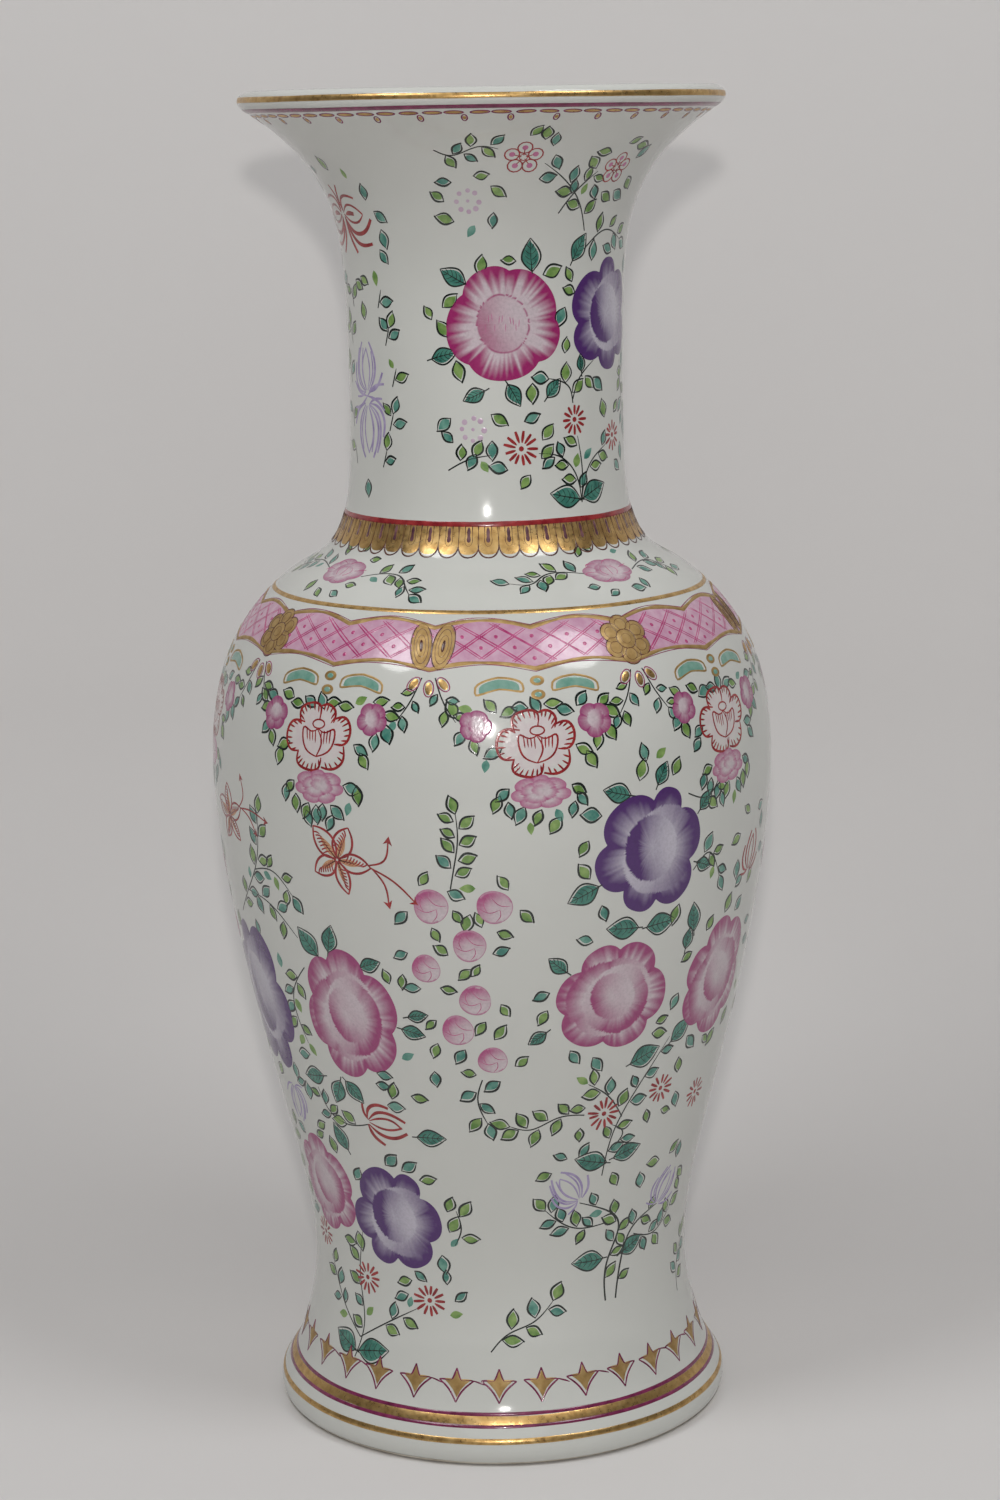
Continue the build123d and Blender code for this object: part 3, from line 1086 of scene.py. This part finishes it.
def trellis_border():
    """The trellis between gilt scallops, broken by pairs of gilt ovals and gilt flowers in turn."""
    trellis_ground()
    paint = Region("trellis")
    edge_line(paint[BOSS], trellis_bottom, -0.3, 1.05, 0.11)
    edge_line(paint[BOSS], trellis_top, 0.3, 1.15, 0.11)
    edge_line(paint[ROSY], trellis_top, 1.05, 0.26, 0.07)
    edge_line(paint[ROSY], trellis_bottom, -1.0, 0.22, 0.07)
    pitch = 9.2
    for k in range(COMPARTMENTS):
        front = FIRST_COMPARTMENT + COMPARTMENT * k
        centre = paint.spot(front, LATTICE_HEIGHT)
        for i in range(-5, 6):
            start = pitch * (i + 0.25 * (k % 2)) + rng.uniform(-0.4, 0.4)
            for slope in (1.38, -1.38):
                for shift in (-0.45, 0.5):
                    lattice_line(centre, start + shift, slope)
            for up, across in ((0.0, pitch / 2), (3.3, 0.0), (-3.3, 0.0)):
                dot = (start + across, up)
                angle, arc = centre.move(dot)
                inside = trellis_bottom(angle) + 1.2 < arc < trellis_top(angle) - 1.2
                if inside and abs(dot[0]) < LATTICE_HALF - 1:
                    blob(centre, MAGENTA, circle(0.6, 8, dot), 0.08)
        separator = front + COMPARTMENT / 2
        motif = gilt_ovals if k % 2 else gilt_flower
        motif(paint.spot(separator, SEPARATOR_HEIGHT))
        drops_and_stems(paint, separator)
        cartouches(paint.spot(front, CARTOUCHE_HEIGHT))


def gilt_ovals(place):
    """Two leaning gilt ovals side by side, ringed and dark at the middle."""
    for side in (-1, 1):
        here = place.at(side * 3.0, 0.2, -side * 7)
        blob(here, BOSS, circle(2.9, 20, squash=2.35), 0.12)
        loop(here, UMBER, circle(2.9, 24, squash=2.35), 0.4, 0.14)
        for size in (2.0, 1.25):
            loop(here, UMBER, circle(size, 20, squash=2.6), 0.3, 0.19)
        blob(here, UMBER, circle(0.55, 10, squash=3.8), 0.2)


def gilt_flower(place):
    """A gilt flower of six round petals, each outlined inside its edge."""
    for k in range(6):
        here = place.at(0, 0, 60 * k + 30).at(4.5, 0)
        blob(here, BOSS, circle(2.95, 16), 0.12)
        loop(here, UMBER, circle(3.0, 18), 0.34, 0.14)
        loop(here, UMBER, circle(1.75, 16), 0.28, 0.19)
    blob(place, BOSS, circle(3.1, 16), 0.17)
    loop(place, UMBER, circle(2.9, 18), 0.34, 0.22)
    loop(place, UMBER, circle(1.5, 14), 0.3, 0.23)


def drops_and_stems(paint, separator):
    """Three gilt drops under a separator, and two dark stems falling to the garlands either side."""
    for turn, down in ((-38, -3.4), (2, -4.2), (40, -3.4)):
        across = down * math.sin(math.radians(-turn)) * 1.1
        here = paint.spot(separator, DROP_HEIGHT).at(across, -1.0, turn).at(0, down * 0.75)
        blob(here, GOLD, circle(1.0, 12, squash=1.7), 0.1)
        loop(here, ROSY, circle(1.35, 16, squash=1.65), 0.34)
    for side in (-1, 1):
        route = [(side * 1.8, -1.2), (side * 4.6, -8.0), (side * 8.0, -13.0)]
        twig(GARLAND.spot(separator, DROP_HEIGHT), route, 4, 3.4, 55, 0.4, first=0.2)


def bean(length, tall):
    """A gently arched bean, its ends rounded."""
    t = np.linspace(0, math.pi, 13)
    x = -length / 2 * np.cos(t)
    top = tall * 0.62 * np.sin(t) ** 0.6 - 0.10 * np.abs(x)
    under = -tall * 0.38 * np.sin(t) ** 0.6 + tall * 0.35 * np.sin(t) ** 2 - 0.10 * np.abs(x)
    there = np.stack([x, top], axis=1)
    back = np.stack([x, under], axis=1)[1:-1][::-1]
    return np.concatenate([there, back])


def cartouches(place):
    """Turquoise beans and dots framed in gilt, under the middle of a compartment."""
    for side in (-1, 1):
        here = place.at(side * 10.2, -0.3, -side * 4)
        keep_clear(here, 6.6, 2.8)
        outline = bean(12.8, 4.8)
        blob(here, TURQUOISE, outline * 0.84, 0.05)
        loop(here, BOSS, outline, 0.6, 0.09)
    keep_clear(place, 2.4, 4.4)
    for up in (1.6, -2.2):
        blob(place.at(0, up), BOSS, circle(1.95, 16, squash=0.72), 0.08)
        blob(place.at(0, up), TURQUOISE, circle(1.15, 12, squash=0.68), 0.14)


def foot_border():
    """A row of gilt four-pointed crowns round the foot, outlined in puce."""
    right_half = [(0.0, 3.7), (0.75, 1.8), (1.45, 0.8), (2.9, 0.85), (4.9, 0.75), (3.0, -0.6), (1.4, -2.2)]
    left_half = [(-x, y) for x, y in right_half[:0:-1]]
    crown = np.array([*right_half, (0.1, -4.5), *left_half]) * (1.0, 1.15)
    closed = [*crown, crown[0]]
    paint = Region("foot")
    for k in range(CROWNS):
        angle = -1 + 360 / CROWNS * k + rng.uniform(-0.4, 0.4)
        here = paint.spot(angle, CROWN_HEIGHT, rng.uniform(-3, 3))
        blob(here.at(rng.uniform(-0.3, 0.3), 0.5), BOSS, crown * 0.84, 0.1)
        for first, last in ((0, 4), (4, 7), (7, 10), (10, 14)):
            stroke(here, PUCE, closed[first : last + 1], 0.54, (0.8, 0.6), 0.12, 0.5)
        if k % 3:
            stroke(here, PUCE, [(4.9, 0.9), (6.6, 0.4), (8.2, -0.2)], 0.44, (0.7, 0.4), 0.08)


# --- Flower painting -------------------------------------------------------------------------------
# The middles and turns of the leaves on the right of a garland, the lower ones first
GARLAND_LEAVES = [
    (12.4, -1.6, -20), (13.4, -4.6, -60), (9.8, -11.8, -30), (11.2, -14.2, -75), (8.2, -16.6, -100),
    (5.2, -18, -60), (3.4, -20.8, -110), (0.6, -18.8, -80),
    (4, 10.2, 20), (7.6, 9, -10), (11.6, 11, 30), (18, 10.6, 15), (20.6, 7.2, -30),
    (19.8, 2.6, -60), (16.4, 0.2, -110), (22.2, 10, 60), (0.2, 10.8, 80),
]


def garland(angle):
    """A peony in a wreath of leaves under a compartment, with three pink roses about it."""
    here = GARLAND.spot(angle, GARLAND_HEIGHT, rng.uniform(-4, 4), rng.uniform(0.98, 1.05))
    blob(here.at(-0.6, 0.8), BLUSH, circle(8.6, 24, squash=0.82), 0.03, (1, 0.8, 0.6, 0.4, 0.2))
    garland_peony(here)
    small_rose(here.at(-16, 5.8), rng.uniform(4.2, 4.8))
    small_rose(here.at(15.4, 5.8), rng.uniform(4.2, 4.8))
    pale_rose(here.at(0, -11.8), 7.8, 4.6)
    for side in (-1, 1):
        for x, y, turn in GARLAND_LEAVES:
            x += rng.uniform(-0.6, 0.6)
            y += rng.uniform(-0.6, 0.6)
            turn = (turn if side == 1 else 180 - turn) + rng.uniform(-20, 20)
            length = rng.uniform(3.8, 4.8)
            leaf(about(here, side * x, y, turn, length), length, either(), 0.24)


def shoulder_spray(angle):
    """A pink peony with a leafy stem trailing to either side."""
    here = SHOULDER_PAINT.spot(angle, SPRAY_HEIGHT, rng.uniform(-3, 3))
    blossom = here.at(0, 0.6)
    rows = [
        row(1, (20, 80, 140, 200, 260, 320), 0.12, 0.45, 0.8),
        row(0.60, (50, 170, 290), 0.08, 0.40, 0.8, (0.05, 0.10), 150),
        row(0.32, (), 0, 0.3, 0.7, (0, 0.15), 120),
    ]
    bloom(blossom, SHADED, 8.2, rows, PALE_ROSE, SOFT_ROSE, 0.64)
    for turn in (20, 75, 130, 185, 240, 290, 340):
        x, y = 6.3 * math.cos(math.radians(turn)), 3.8 * math.sin(math.radians(turn))
        petal = [(x - 1.9, y - 0.5), (x * 1.22 - 0.4, y * 1.22), (x + 1.9, y + 0.5)]
        stroke(blossom, MAGENTA, petal, 0.3, (0.3, 0.4), 0.12)
    for bend in (-1.6, 0.2, 1.9):
        line = [(bend, 2.1), (bend * 1.6, 0.3), (bend * 0.8, -1.8)]
        stroke(blossom, MAGENTA, line, 0.28, (0.3, 0.4), 0.12)
    left = [(-8, 0.8), (-14, 2.4), (-20, 1.6), (-26, -1.8), (-31.5, -1)]
    right = [(8.5, -0.4), (14, 1.8), (20, 1.6), (25, -2.2), (29.5, -6)]
    twig(here, left, 9, 4.1, 48, first=0.05)
    twig(here, right, 8, 4.1, 48, first=0.05)
    wreath(here.at(0, 0.6), 8.6, 4, 3.6, 195, 345)
    wreath(here.at(0, 0.6), 8.2, 3, 3.6, 30, 150)


def neck_bouquet(front):
    """The bouquet of the neck: a pink rose and a purple peony, with sprigs above and below."""
    on = NECK_PAINT.facing(front)
    here = on(8, BOUQUET_HEIGHT)
    apart = 1.05
    round_rose(here, 15.8)
    broad_leaves = [
        (-13, 12, 150, 7.5), (7, 17, 95, 8.5), (-16, -8, 15, 7), (-8, -18, 205, 6),
        (2, -18, -60, 6.5), (13, -17, 50, 6), (22, -11, 95, 4.5),
    ]
    little_leaves = [
        (-6, 15, 80, 5), (1, 16, 175, 3.6), (13, 13, 20, 5.5), (18, 8, 160, 3.8),
        (-14, 6, 40, 5), (-16, -1, 125, 5), (-12, -12, -75, 5.5), (7, -18, -90, 5),
        (17, -13, 85, 5), (25, -16, -45, 4.2), (17, -6, 80, 3.8), (-20, 3, 120, 3.6),
    ]
    big_leaves(here, 0.6, broad_leaves, apart)
    for x, y, turn, length in little_leaves:
        leaf(about(here, x * apart, y * apart, turn, length), length, GREEN)
    purple_peony(here.at(34.5, 1), 15.4, turn=20)
    veined_leaf(here.at(20, 16, 60), 8)
    wreath(here.at(34.5, 1), 17.2, 14, 4.4)
    # above the rose
    twig(here, [(-20, 49), (-15, 47), (-8, 50), (-3, 49)], 6, 4.2, 55)
    wreath(prunus(here.at(4, 46), 5.4), 8, 6, 4.2, -70, 100)
    wreath(dotted_flower(here.at(-10, 33), 3), 7, 7)
    twigs(here, 4.2, [(8, [(24, 24), (22, 31), (16, 39), (10, 44)]), (5, [(15, 29), (19, 34), (27, 41)])])
    wreath(prunus(here.at(34, 42), 5), 8, 9)
    twig(here, [(24, 19), (33, 24), (42, 21)], 6, 4.2, 55)
    # below it
    wreath(dotted_flower(here.at(-9, -28), 3), 6.4, 6)
    twig(here, [(-16, -39), (-10, -36), (-4, -35)], 6, spread=55)
    wreath(aster(here.at(4, -33.5), 4.8, 13), 6.8, 5, 4.2, -150, 100)
    twigs(here, 4.2, [
        (7, [(22.5, -49), (21, -42), (15, -36), (9, -35)]),
        (4, [(22.5, -49), (23, -40), (21.5, -31)]),
        (6, [(22.5, -48), (26, -39), (34, -34)]),
        (4, [(20, -22), (19, -18), (12, -15)]),
        (4, [(20, -21), (22, -16), (28, -11)]),
    ])
    aster(here.at(20.5, -26.5))
    wreath(aster(here.at(37.5, -32)), 6.6, 7, 4)
    veined_leaf(here.at(22, -48, 168), 9.5, 0.6)
    veined_leaf(here.at(23, -48, 20), 9.5, 0.6)
    twig(here, [(44, -12), (46, -22), (52, -32)], 6, 4.2)


def neck_chrysanthemums(front):
    """Red chrysanthemums over a lavender pair, at the side of the neck."""
    on = NECK_PAINT.facing(front)
    for flip in (False, True):
        here = on(-66, 342, 0, 1, flip).at(0.6, 0)
        for route, width in [
            ([(0.2, 0.8), (1, 4), (4.6, 5.4), (8.6, 4.6)], 0.85),
            ([(0.2, 0.4), (3.4, 2.6), (7.6, 1.9), (10.2, 0)], 0.7),
            ([(10.2, 0), (7.4, -2), (3, -1.8), (0.4, 0)], 0.7),
            ([(1.6, 0), (3.6, 0.35), (6, 0.1)], 1.3),
            ([(0.2, -0.6), (4, -4.9), (9, -4.8), (13, -1.2)], 1.15),
            ([(0.2, -0.8), (2.8, -6), (7, -8.4), (11.6, -8)], 1.1),
            ([(0.2, -0.8), (1, -6), (4, -10.6)], 1.1),
            ([(0, 1), (-0.2, 4.6), (1.8, 8.6)], 0.9),
        ]:
            stroke(here, RED, route, width, (0.4, 0.8), 0.08)
    keep_clear(on(-66, 341), 13)
    wreath(on(-66, 340), 16, 18)
    lower = on(-58, 294)
    chrysanthemum(lower.at(0, 0, 90), LILAC, 1.15)
    chrysanthemum(lower.at(0, -3, -90), LILAC, 1.3)
    for turn in (-25, 25, 155, 205):
        stroke(lower.at(0, -1, turn), LILAC, [(0, 0), (5, 1), (8.5, 0)], 0.8, (0.4, 0.8), 0.08)
    for up in (-20, -10, 2, 13, 23):
        for side in (-1, 1):
            reach = 8.5 + 2.5 * math.cos(up / 9)
            twig(lower, [(side * reach, up), (side * (reach + 1.5), up + 5)], 2, 4, 55)
    leaf(lower.at(0, 20, 100), 4.4, GREEN)
    leaf(lower.at(0, -24, -80), 4.4, TEAL)


def rosebud_sprig(front, height, flip=False):
    """Rosebuds among leaves, with a leafy tip above and a short tail below."""
    here = BODY_PAINT.spot(front, height, flip=flip)
    twig(here, [(-3.5, 16), (-2.2, 23), (-1.2, 30), (-1.7, 37)], 8, 4.3)
    buds = [(-9, 11), (8, 11), (1, 0), (-11, -7), (2, -16), (-3, -25), (6, -34)]
    for x, y in buds:
        rosebud(here.at(x, y), rng.uniform(3.9, 4.9))
    twig(here, [(3, -40), (1.5, -46), (4, -54)], 3, 4.4, 55)
    for x, y in buds:
        wreath(here.at(x, y), 6.6, 5, 4.2, rng.uniform(0, 120), 380)


def body_left(front):
    """Butterfly flower, roses and peonies left of the middle, rising from a pair of leaves."""
    on = BODY_PAINT.facing(front)
    butterfly_flower(on(-32, 174), 1.05)
    butterfly_flower(on(-67, 179, 30), 0.95)
    twigs(on(-56, 165), 4.6, [
        (10, [(-16, -14), (-8, -6), (0, 4), (3, 18)]),
        (6, [(-8, -6), (4, -8), (14, -16)]),
        (5, [(-2, 1), (8, 2), (15, -4)]),
    ])
    upper = on(-34, 129)
    rose(upper, 15.2, 1.30, 25)
    big_leaves(upper, 0.6, [
        (-11, 20, 130, 9.5), (-3, 22, 75, 8), (9, 16, 20, 6.5), (19, -3, -15, 6.5),
        (21, 2, 10, 5.5), (-18, -22, 190, 8.5), (-9, -25, 245, 8), (-3, -24, -50, 7.5),
    ])
    wreath(upper, 18.4, 9, 4.6, -75, 75)
    wreath(upper.at(4, -6), 21, 7, 4.6, -80, 20)
    twig(upper, [(-14, 12), (-21, 2), (-18, -12)], 9)
    wreath(purple_peony(on(-67, 127), 17, 1.35, 40), 21, 14, 4.6)
    chrysanthemum(on(-62, 101, -100), LILAC)
    wreath(on(-62, 95), 9.5, 8, 4.4)
    red = on(-34, 97, -4)
    chrysanthemum(red, RED, 1.05)
    wreath(red.at(0, 3), 10.5, 8, 4.4, -60, 240)
    veined_leaf(about(red, 19, -1.5, 5, 8), 8, 0.62)
    twig(red, [(0, -1), (-7, -3), (-14, -1), (-18, 6)], 6)
    wreath(purple_peony(on(-31, 67.5), 14.8, 1.08, -10), 17, 11, 4.6, -80, 110)
    wreath(rose(on(-58, 72), 13.4, 1.15, 30), 16, 12, 4.6)
    veined_leaf(on(-43, 86, 115), 8.5)
    base = on(-47, 23)
    twigs(base, 4.4, [
        (10, [(0, 0), (2, 10), (0, 22), (3, 38)]),
        (6, [(1, 6), (10, 12), (20, 18)]),
        (7, [(1, 6), (-8, 14), (-15, 26)]),
    ])
    aster(base.at(3, 24), 4.8, 13)
    wreath(aster(base.at(24, 21), 4.8, 13), 7, 6, 4.2, -60, 200)
    aster(base.at(-18, 32), 4.6)
    veined_leaf(base.at(0, 2, 160), 10, 0.62)
    veined_leaf(base.at(1, 2, 12), 11, 0.6)
    twig(on(-13, 66), [(0, -5), (2, 0), (1, 6)], 3, 5, 60)


def body_right(front):
    """A purple peony, pink roses, asters and lavender chrysanthemums right of the middle."""
    on = BODY_PAINT.facing(front)
    top = on(32.5, 175)
    purple_peony(top, 17.6)
    big_leaves(top, 0.62, [
        (-11, 17, 165, 8), (3, 20.5, 60, 6.5), (19, 11, 45, 6.5), (-20, -10, 205, 9), (19, -7, -20, 6),
    ])
    wreath(top, 19.6, 12, 4.8, 60)
    for x, y, turn in [(-6, 23, 135), (-2.5, 27, 100), (3, 26, 35), (0, 21.5, -60), (8, 22, 60)]:
        leaf(about(top, x, y, turn, 4.8), 4.8, either())
    twigs(top, 4.6, [(6, [(12, 14), (20, 12), (26, 18)]), (6, [(15, -8), (21, -4), (27, -12)])])
    lower = on(26, 134.5)
    rose(lower, 16.8, 0.98)
    big_leaves(lower, 0.62, [
        (1, 20, 175, 9.5), (13, 19.5, 5, 9.5), (-17, 11, 140, 6.5), (-21, -10, 215, 5.5),
        (12, -20, 20, 10), (25, -15, 40, 8.5), (24, 13, 80, 6),
    ])
    wreath(lower, 18.8, 12, 4.6, 100, 340)
    wreath(rose(on(58, 133), 15.6, 1.15, 45), 18.6, 13, 4.6)
    veined_leaf(on(46, 149, 100), 8.5)
    chrysanthemum(on(66, 161, 80), RED)
    wreath(on(66, 169), 9, 8, 4.4)
    stem = on(30, 84)
    twig(stem, [(-2, -4), (0, 10), (6, 22), (16, 36)], 9)
    twig(stem, [(-10, 16.5), (-18, 16.5), (-25, 13.5), (-31, 15)], 6, 4.6, 55)
    twigs(stem, 4.4, [(3, [(0, 4), (3, 9), (-1, 12)]), (5, [(2, 14), (-4, 22), (-10, 26)])])
    wreath(aster(stem.at(-4, 16), 5, 13), 7.4, 6)
    wreath(aster(stem.at(15, 20), 4.6), 7.2, 7)
    aster(stem.at(33, 14), 4.6)
    veined_leaf(stem.at(-1, 0, 165), 10)
    veined_leaf(stem.at(1, 1, 15), 9)
    fork = on(34, 41)
    twig(fork, [(-1.5, 0), (-1, 12), (2, 22), (-12, 32)], 9, width=0.62)
    twig(fork, [(2, 0), (4, 12), (7, 20), (17, 25)], 8, width=0.62)
    twigs(fork, 4.4, [(7, [(-3, 24), (-12, 24), (-22, 31)]), (6, [(8, 18), (17, 16), (25, 22)])])
    chrysanthemum(fork.at(-12, 33, 130), LILAC)
    wreath(fork.at(-13, 38), 9.5, 9, 4.2, 0, 240)
    chrysanthemum(fork.at(17, 25, 60), LILAC)
    wreath(fork.at(18, 31), 9, 8, 4.2, -60, 190)
    veined_leaf(fork.at(-2.5, 13, 180), 9.5, 0.6)
    veined_leaf(fork.at(3.5, 13, 25), 8.5, 0.6)


def body_foot_sprigs(front):
    """Small leafy sprigs above the foot."""
    on = BODY_PAINT.facing(front)
    twig(on(5, 38), [(-8, -8), (-3, -3), (4, 0), (10, 6)], 5, 4.8)
    twig(on(68, 42), [(0, -8), (1, 0), (6, 8)], 6, 4.6)




# --- Stage, light and camera -----------------------------------------------------------------------
def one_sided(tree, surface):
    """Let the back of a sheet be seen through, so that the wall doesn't hide the vase from behind."""
    side = tree.nodes.new("ShaderNodeNewGeometry")
    clear = tree.nodes.new("ShaderNodeBsdfTransparent")
    mix = tree.nodes.new("ShaderNodeMixShader")
    tree.links.new(side.outputs["Backfacing"], mix.inputs[0])
    tree.links.new(surface.outputs["BSDF"], mix.inputs[1])
    tree.links.new(clear.outputs["BSDF"], mix.inputs[2])
    tree.links.new(mix.outputs["Shader"], tree.nodes["Material Output"].inputs["Surface"])


def stage():
    """A pale floor that curves up into a wall a little way behind the vase."""
    bend = 0.16
    wall = 0.26
    half = 1.6
    front = -2.6
    top = 1.6
    curve = np.linspace(0, math.pi / 2, 25)
    profile = [(front, 0.0), (wall - bend, 0.0)]
    profile += [(wall - bend + bend * math.sin(a), bend - bend * math.cos(a)) for a in curve[1:]]
    profile += [(wall, top)]
    points = [(x, y, z) for y, z in profile for x in (-half, half)]
    faces = [(2 * i, 2 * i + 1, 2 * i + 3, 2 * i + 2) for i in range(len(profile) - 1)]
    material, tree, surface = shader("pale_paper", 0.85)
    tints = [(0.3, (0.735, 0.72, 0.71)), (0.7, (0.745, 0.73, 0.72))]
    vary(tree, surface, "Base Color", noise(tree, 3.0), tints)
    one_sided(tree, surface)
    sheet("sweep", points, faces, material)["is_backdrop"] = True


def area_light(name, place, aim, size, watts, colour=(1, 1, 1)):
    """A round lamp that shines at a point."""
    light = bpy.data.lights.new(name, "AREA")
    light.shape = "DISK"
    light.size = size
    light.energy = watts
    light.color = colour
    lamp = bpy.data.objects.new(name, light)
    lamp.location = place
    lamp.rotation_euler = (Vector(aim) - Vector(place)).to_track_quat("-Z", "Y").to_euler()
    bpy.context.scene.collection.objects.link(lamp)


def lighting():
    """Soft studio light: three broad lamps above the vase, and a small one just above the camera."""
    world = bpy.data.worlds.new("studio")
    bpy.context.scene.world = world
    world.use_nodes = True
    background = world.node_tree.nodes["Background"]
    background.inputs["Color"].default_value = (0.97, 0.98, 1.0, 1.0)
    background.inputs["Strength"].default_value = 0.11
    area_light("key", (0.0, -0.93, 0.452), (0, 0, 0.22), 0.025, 2.0, (1.0, 0.97, 0.95))
    area_light("upper_left", (-0.62, -0.52, 1.28), (0, 0, 0.25), 0.5, 4.6)
    area_light("upper_right", (0.62, -0.52, 1.28), (0, 0, 0.25), 0.5, 4.6)
    area_light("upper_front", (0.0, -0.6, 0.72), (0, 0, 0.28), 0.6, 0.55)
    bpy.context.scene.view_settings.view_transform = "Standard"


def camera():
    """The photograph's viewpoint: level with the lip, a little under a metre away, looking down."""
    place = Vector((0.0, -0.8925, 0.3654))
    down = 0.1942
    roll = -0.0165
    yaw = 0.0025
    forward = Vector((math.sin(yaw) * math.cos(down), math.cos(yaw) * math.cos(down), -math.sin(down)))
    level = Vector((math.cos(yaw), -math.sin(yaw), 0.0))
    upright = level.cross(forward)
    right = level * math.cos(roll) + upright * math.sin(roll)
    up = upright * math.cos(roll) - level * math.sin(roll)
    data = bpy.data.cameras.new("viewpoint")
    data.sensor_fit = "VERTICAL"
    data.sensor_height = 36.0
    data.lens = 76.44
    eye = bpy.data.objects.new("viewpoint", data)
    eye.matrix_world = Matrix.Translation(place) @ Matrix((right, up, -forward)).transposed().to_4x4()
    bpy.context.scene.collection.objects.link(eye)
    bpy.context.scene.camera = eye


# --- Assembly --------------------------------------------------------------------------------------
porcelain()
foot()
bands()
rim_border()
collar_border()
trellis_border()
foot_border()
for angle in (40, 132, 220, 308):
    shoulder_spray(angle)
for k in range(COMPARTMENTS):
    garland(FIRST_COMPARTMENT - 0.5 + COMPARTMENT * k)
for front in (0, 180):
    neck_bouquet(front)
    neck_chrysanthemums(front)
    rosebud_sprig(front - 6, 152)
    rosebud_sprig(front + 90, 150, True)
    body_left(front)
    body_right(front)
    body_foot_sprigs(front)
leaves()
for region in Region.every:
    for family, layer in region.layers.items():
        build(f"{region.name}_{family}", layer, family)
stage()
lighting()
camera()

as_lists = [[[float(v) for v in corner] for corner in box] for box in (CAD_BOX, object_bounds())]
{"cad": as_lists[0], "visual": as_lists[1]}
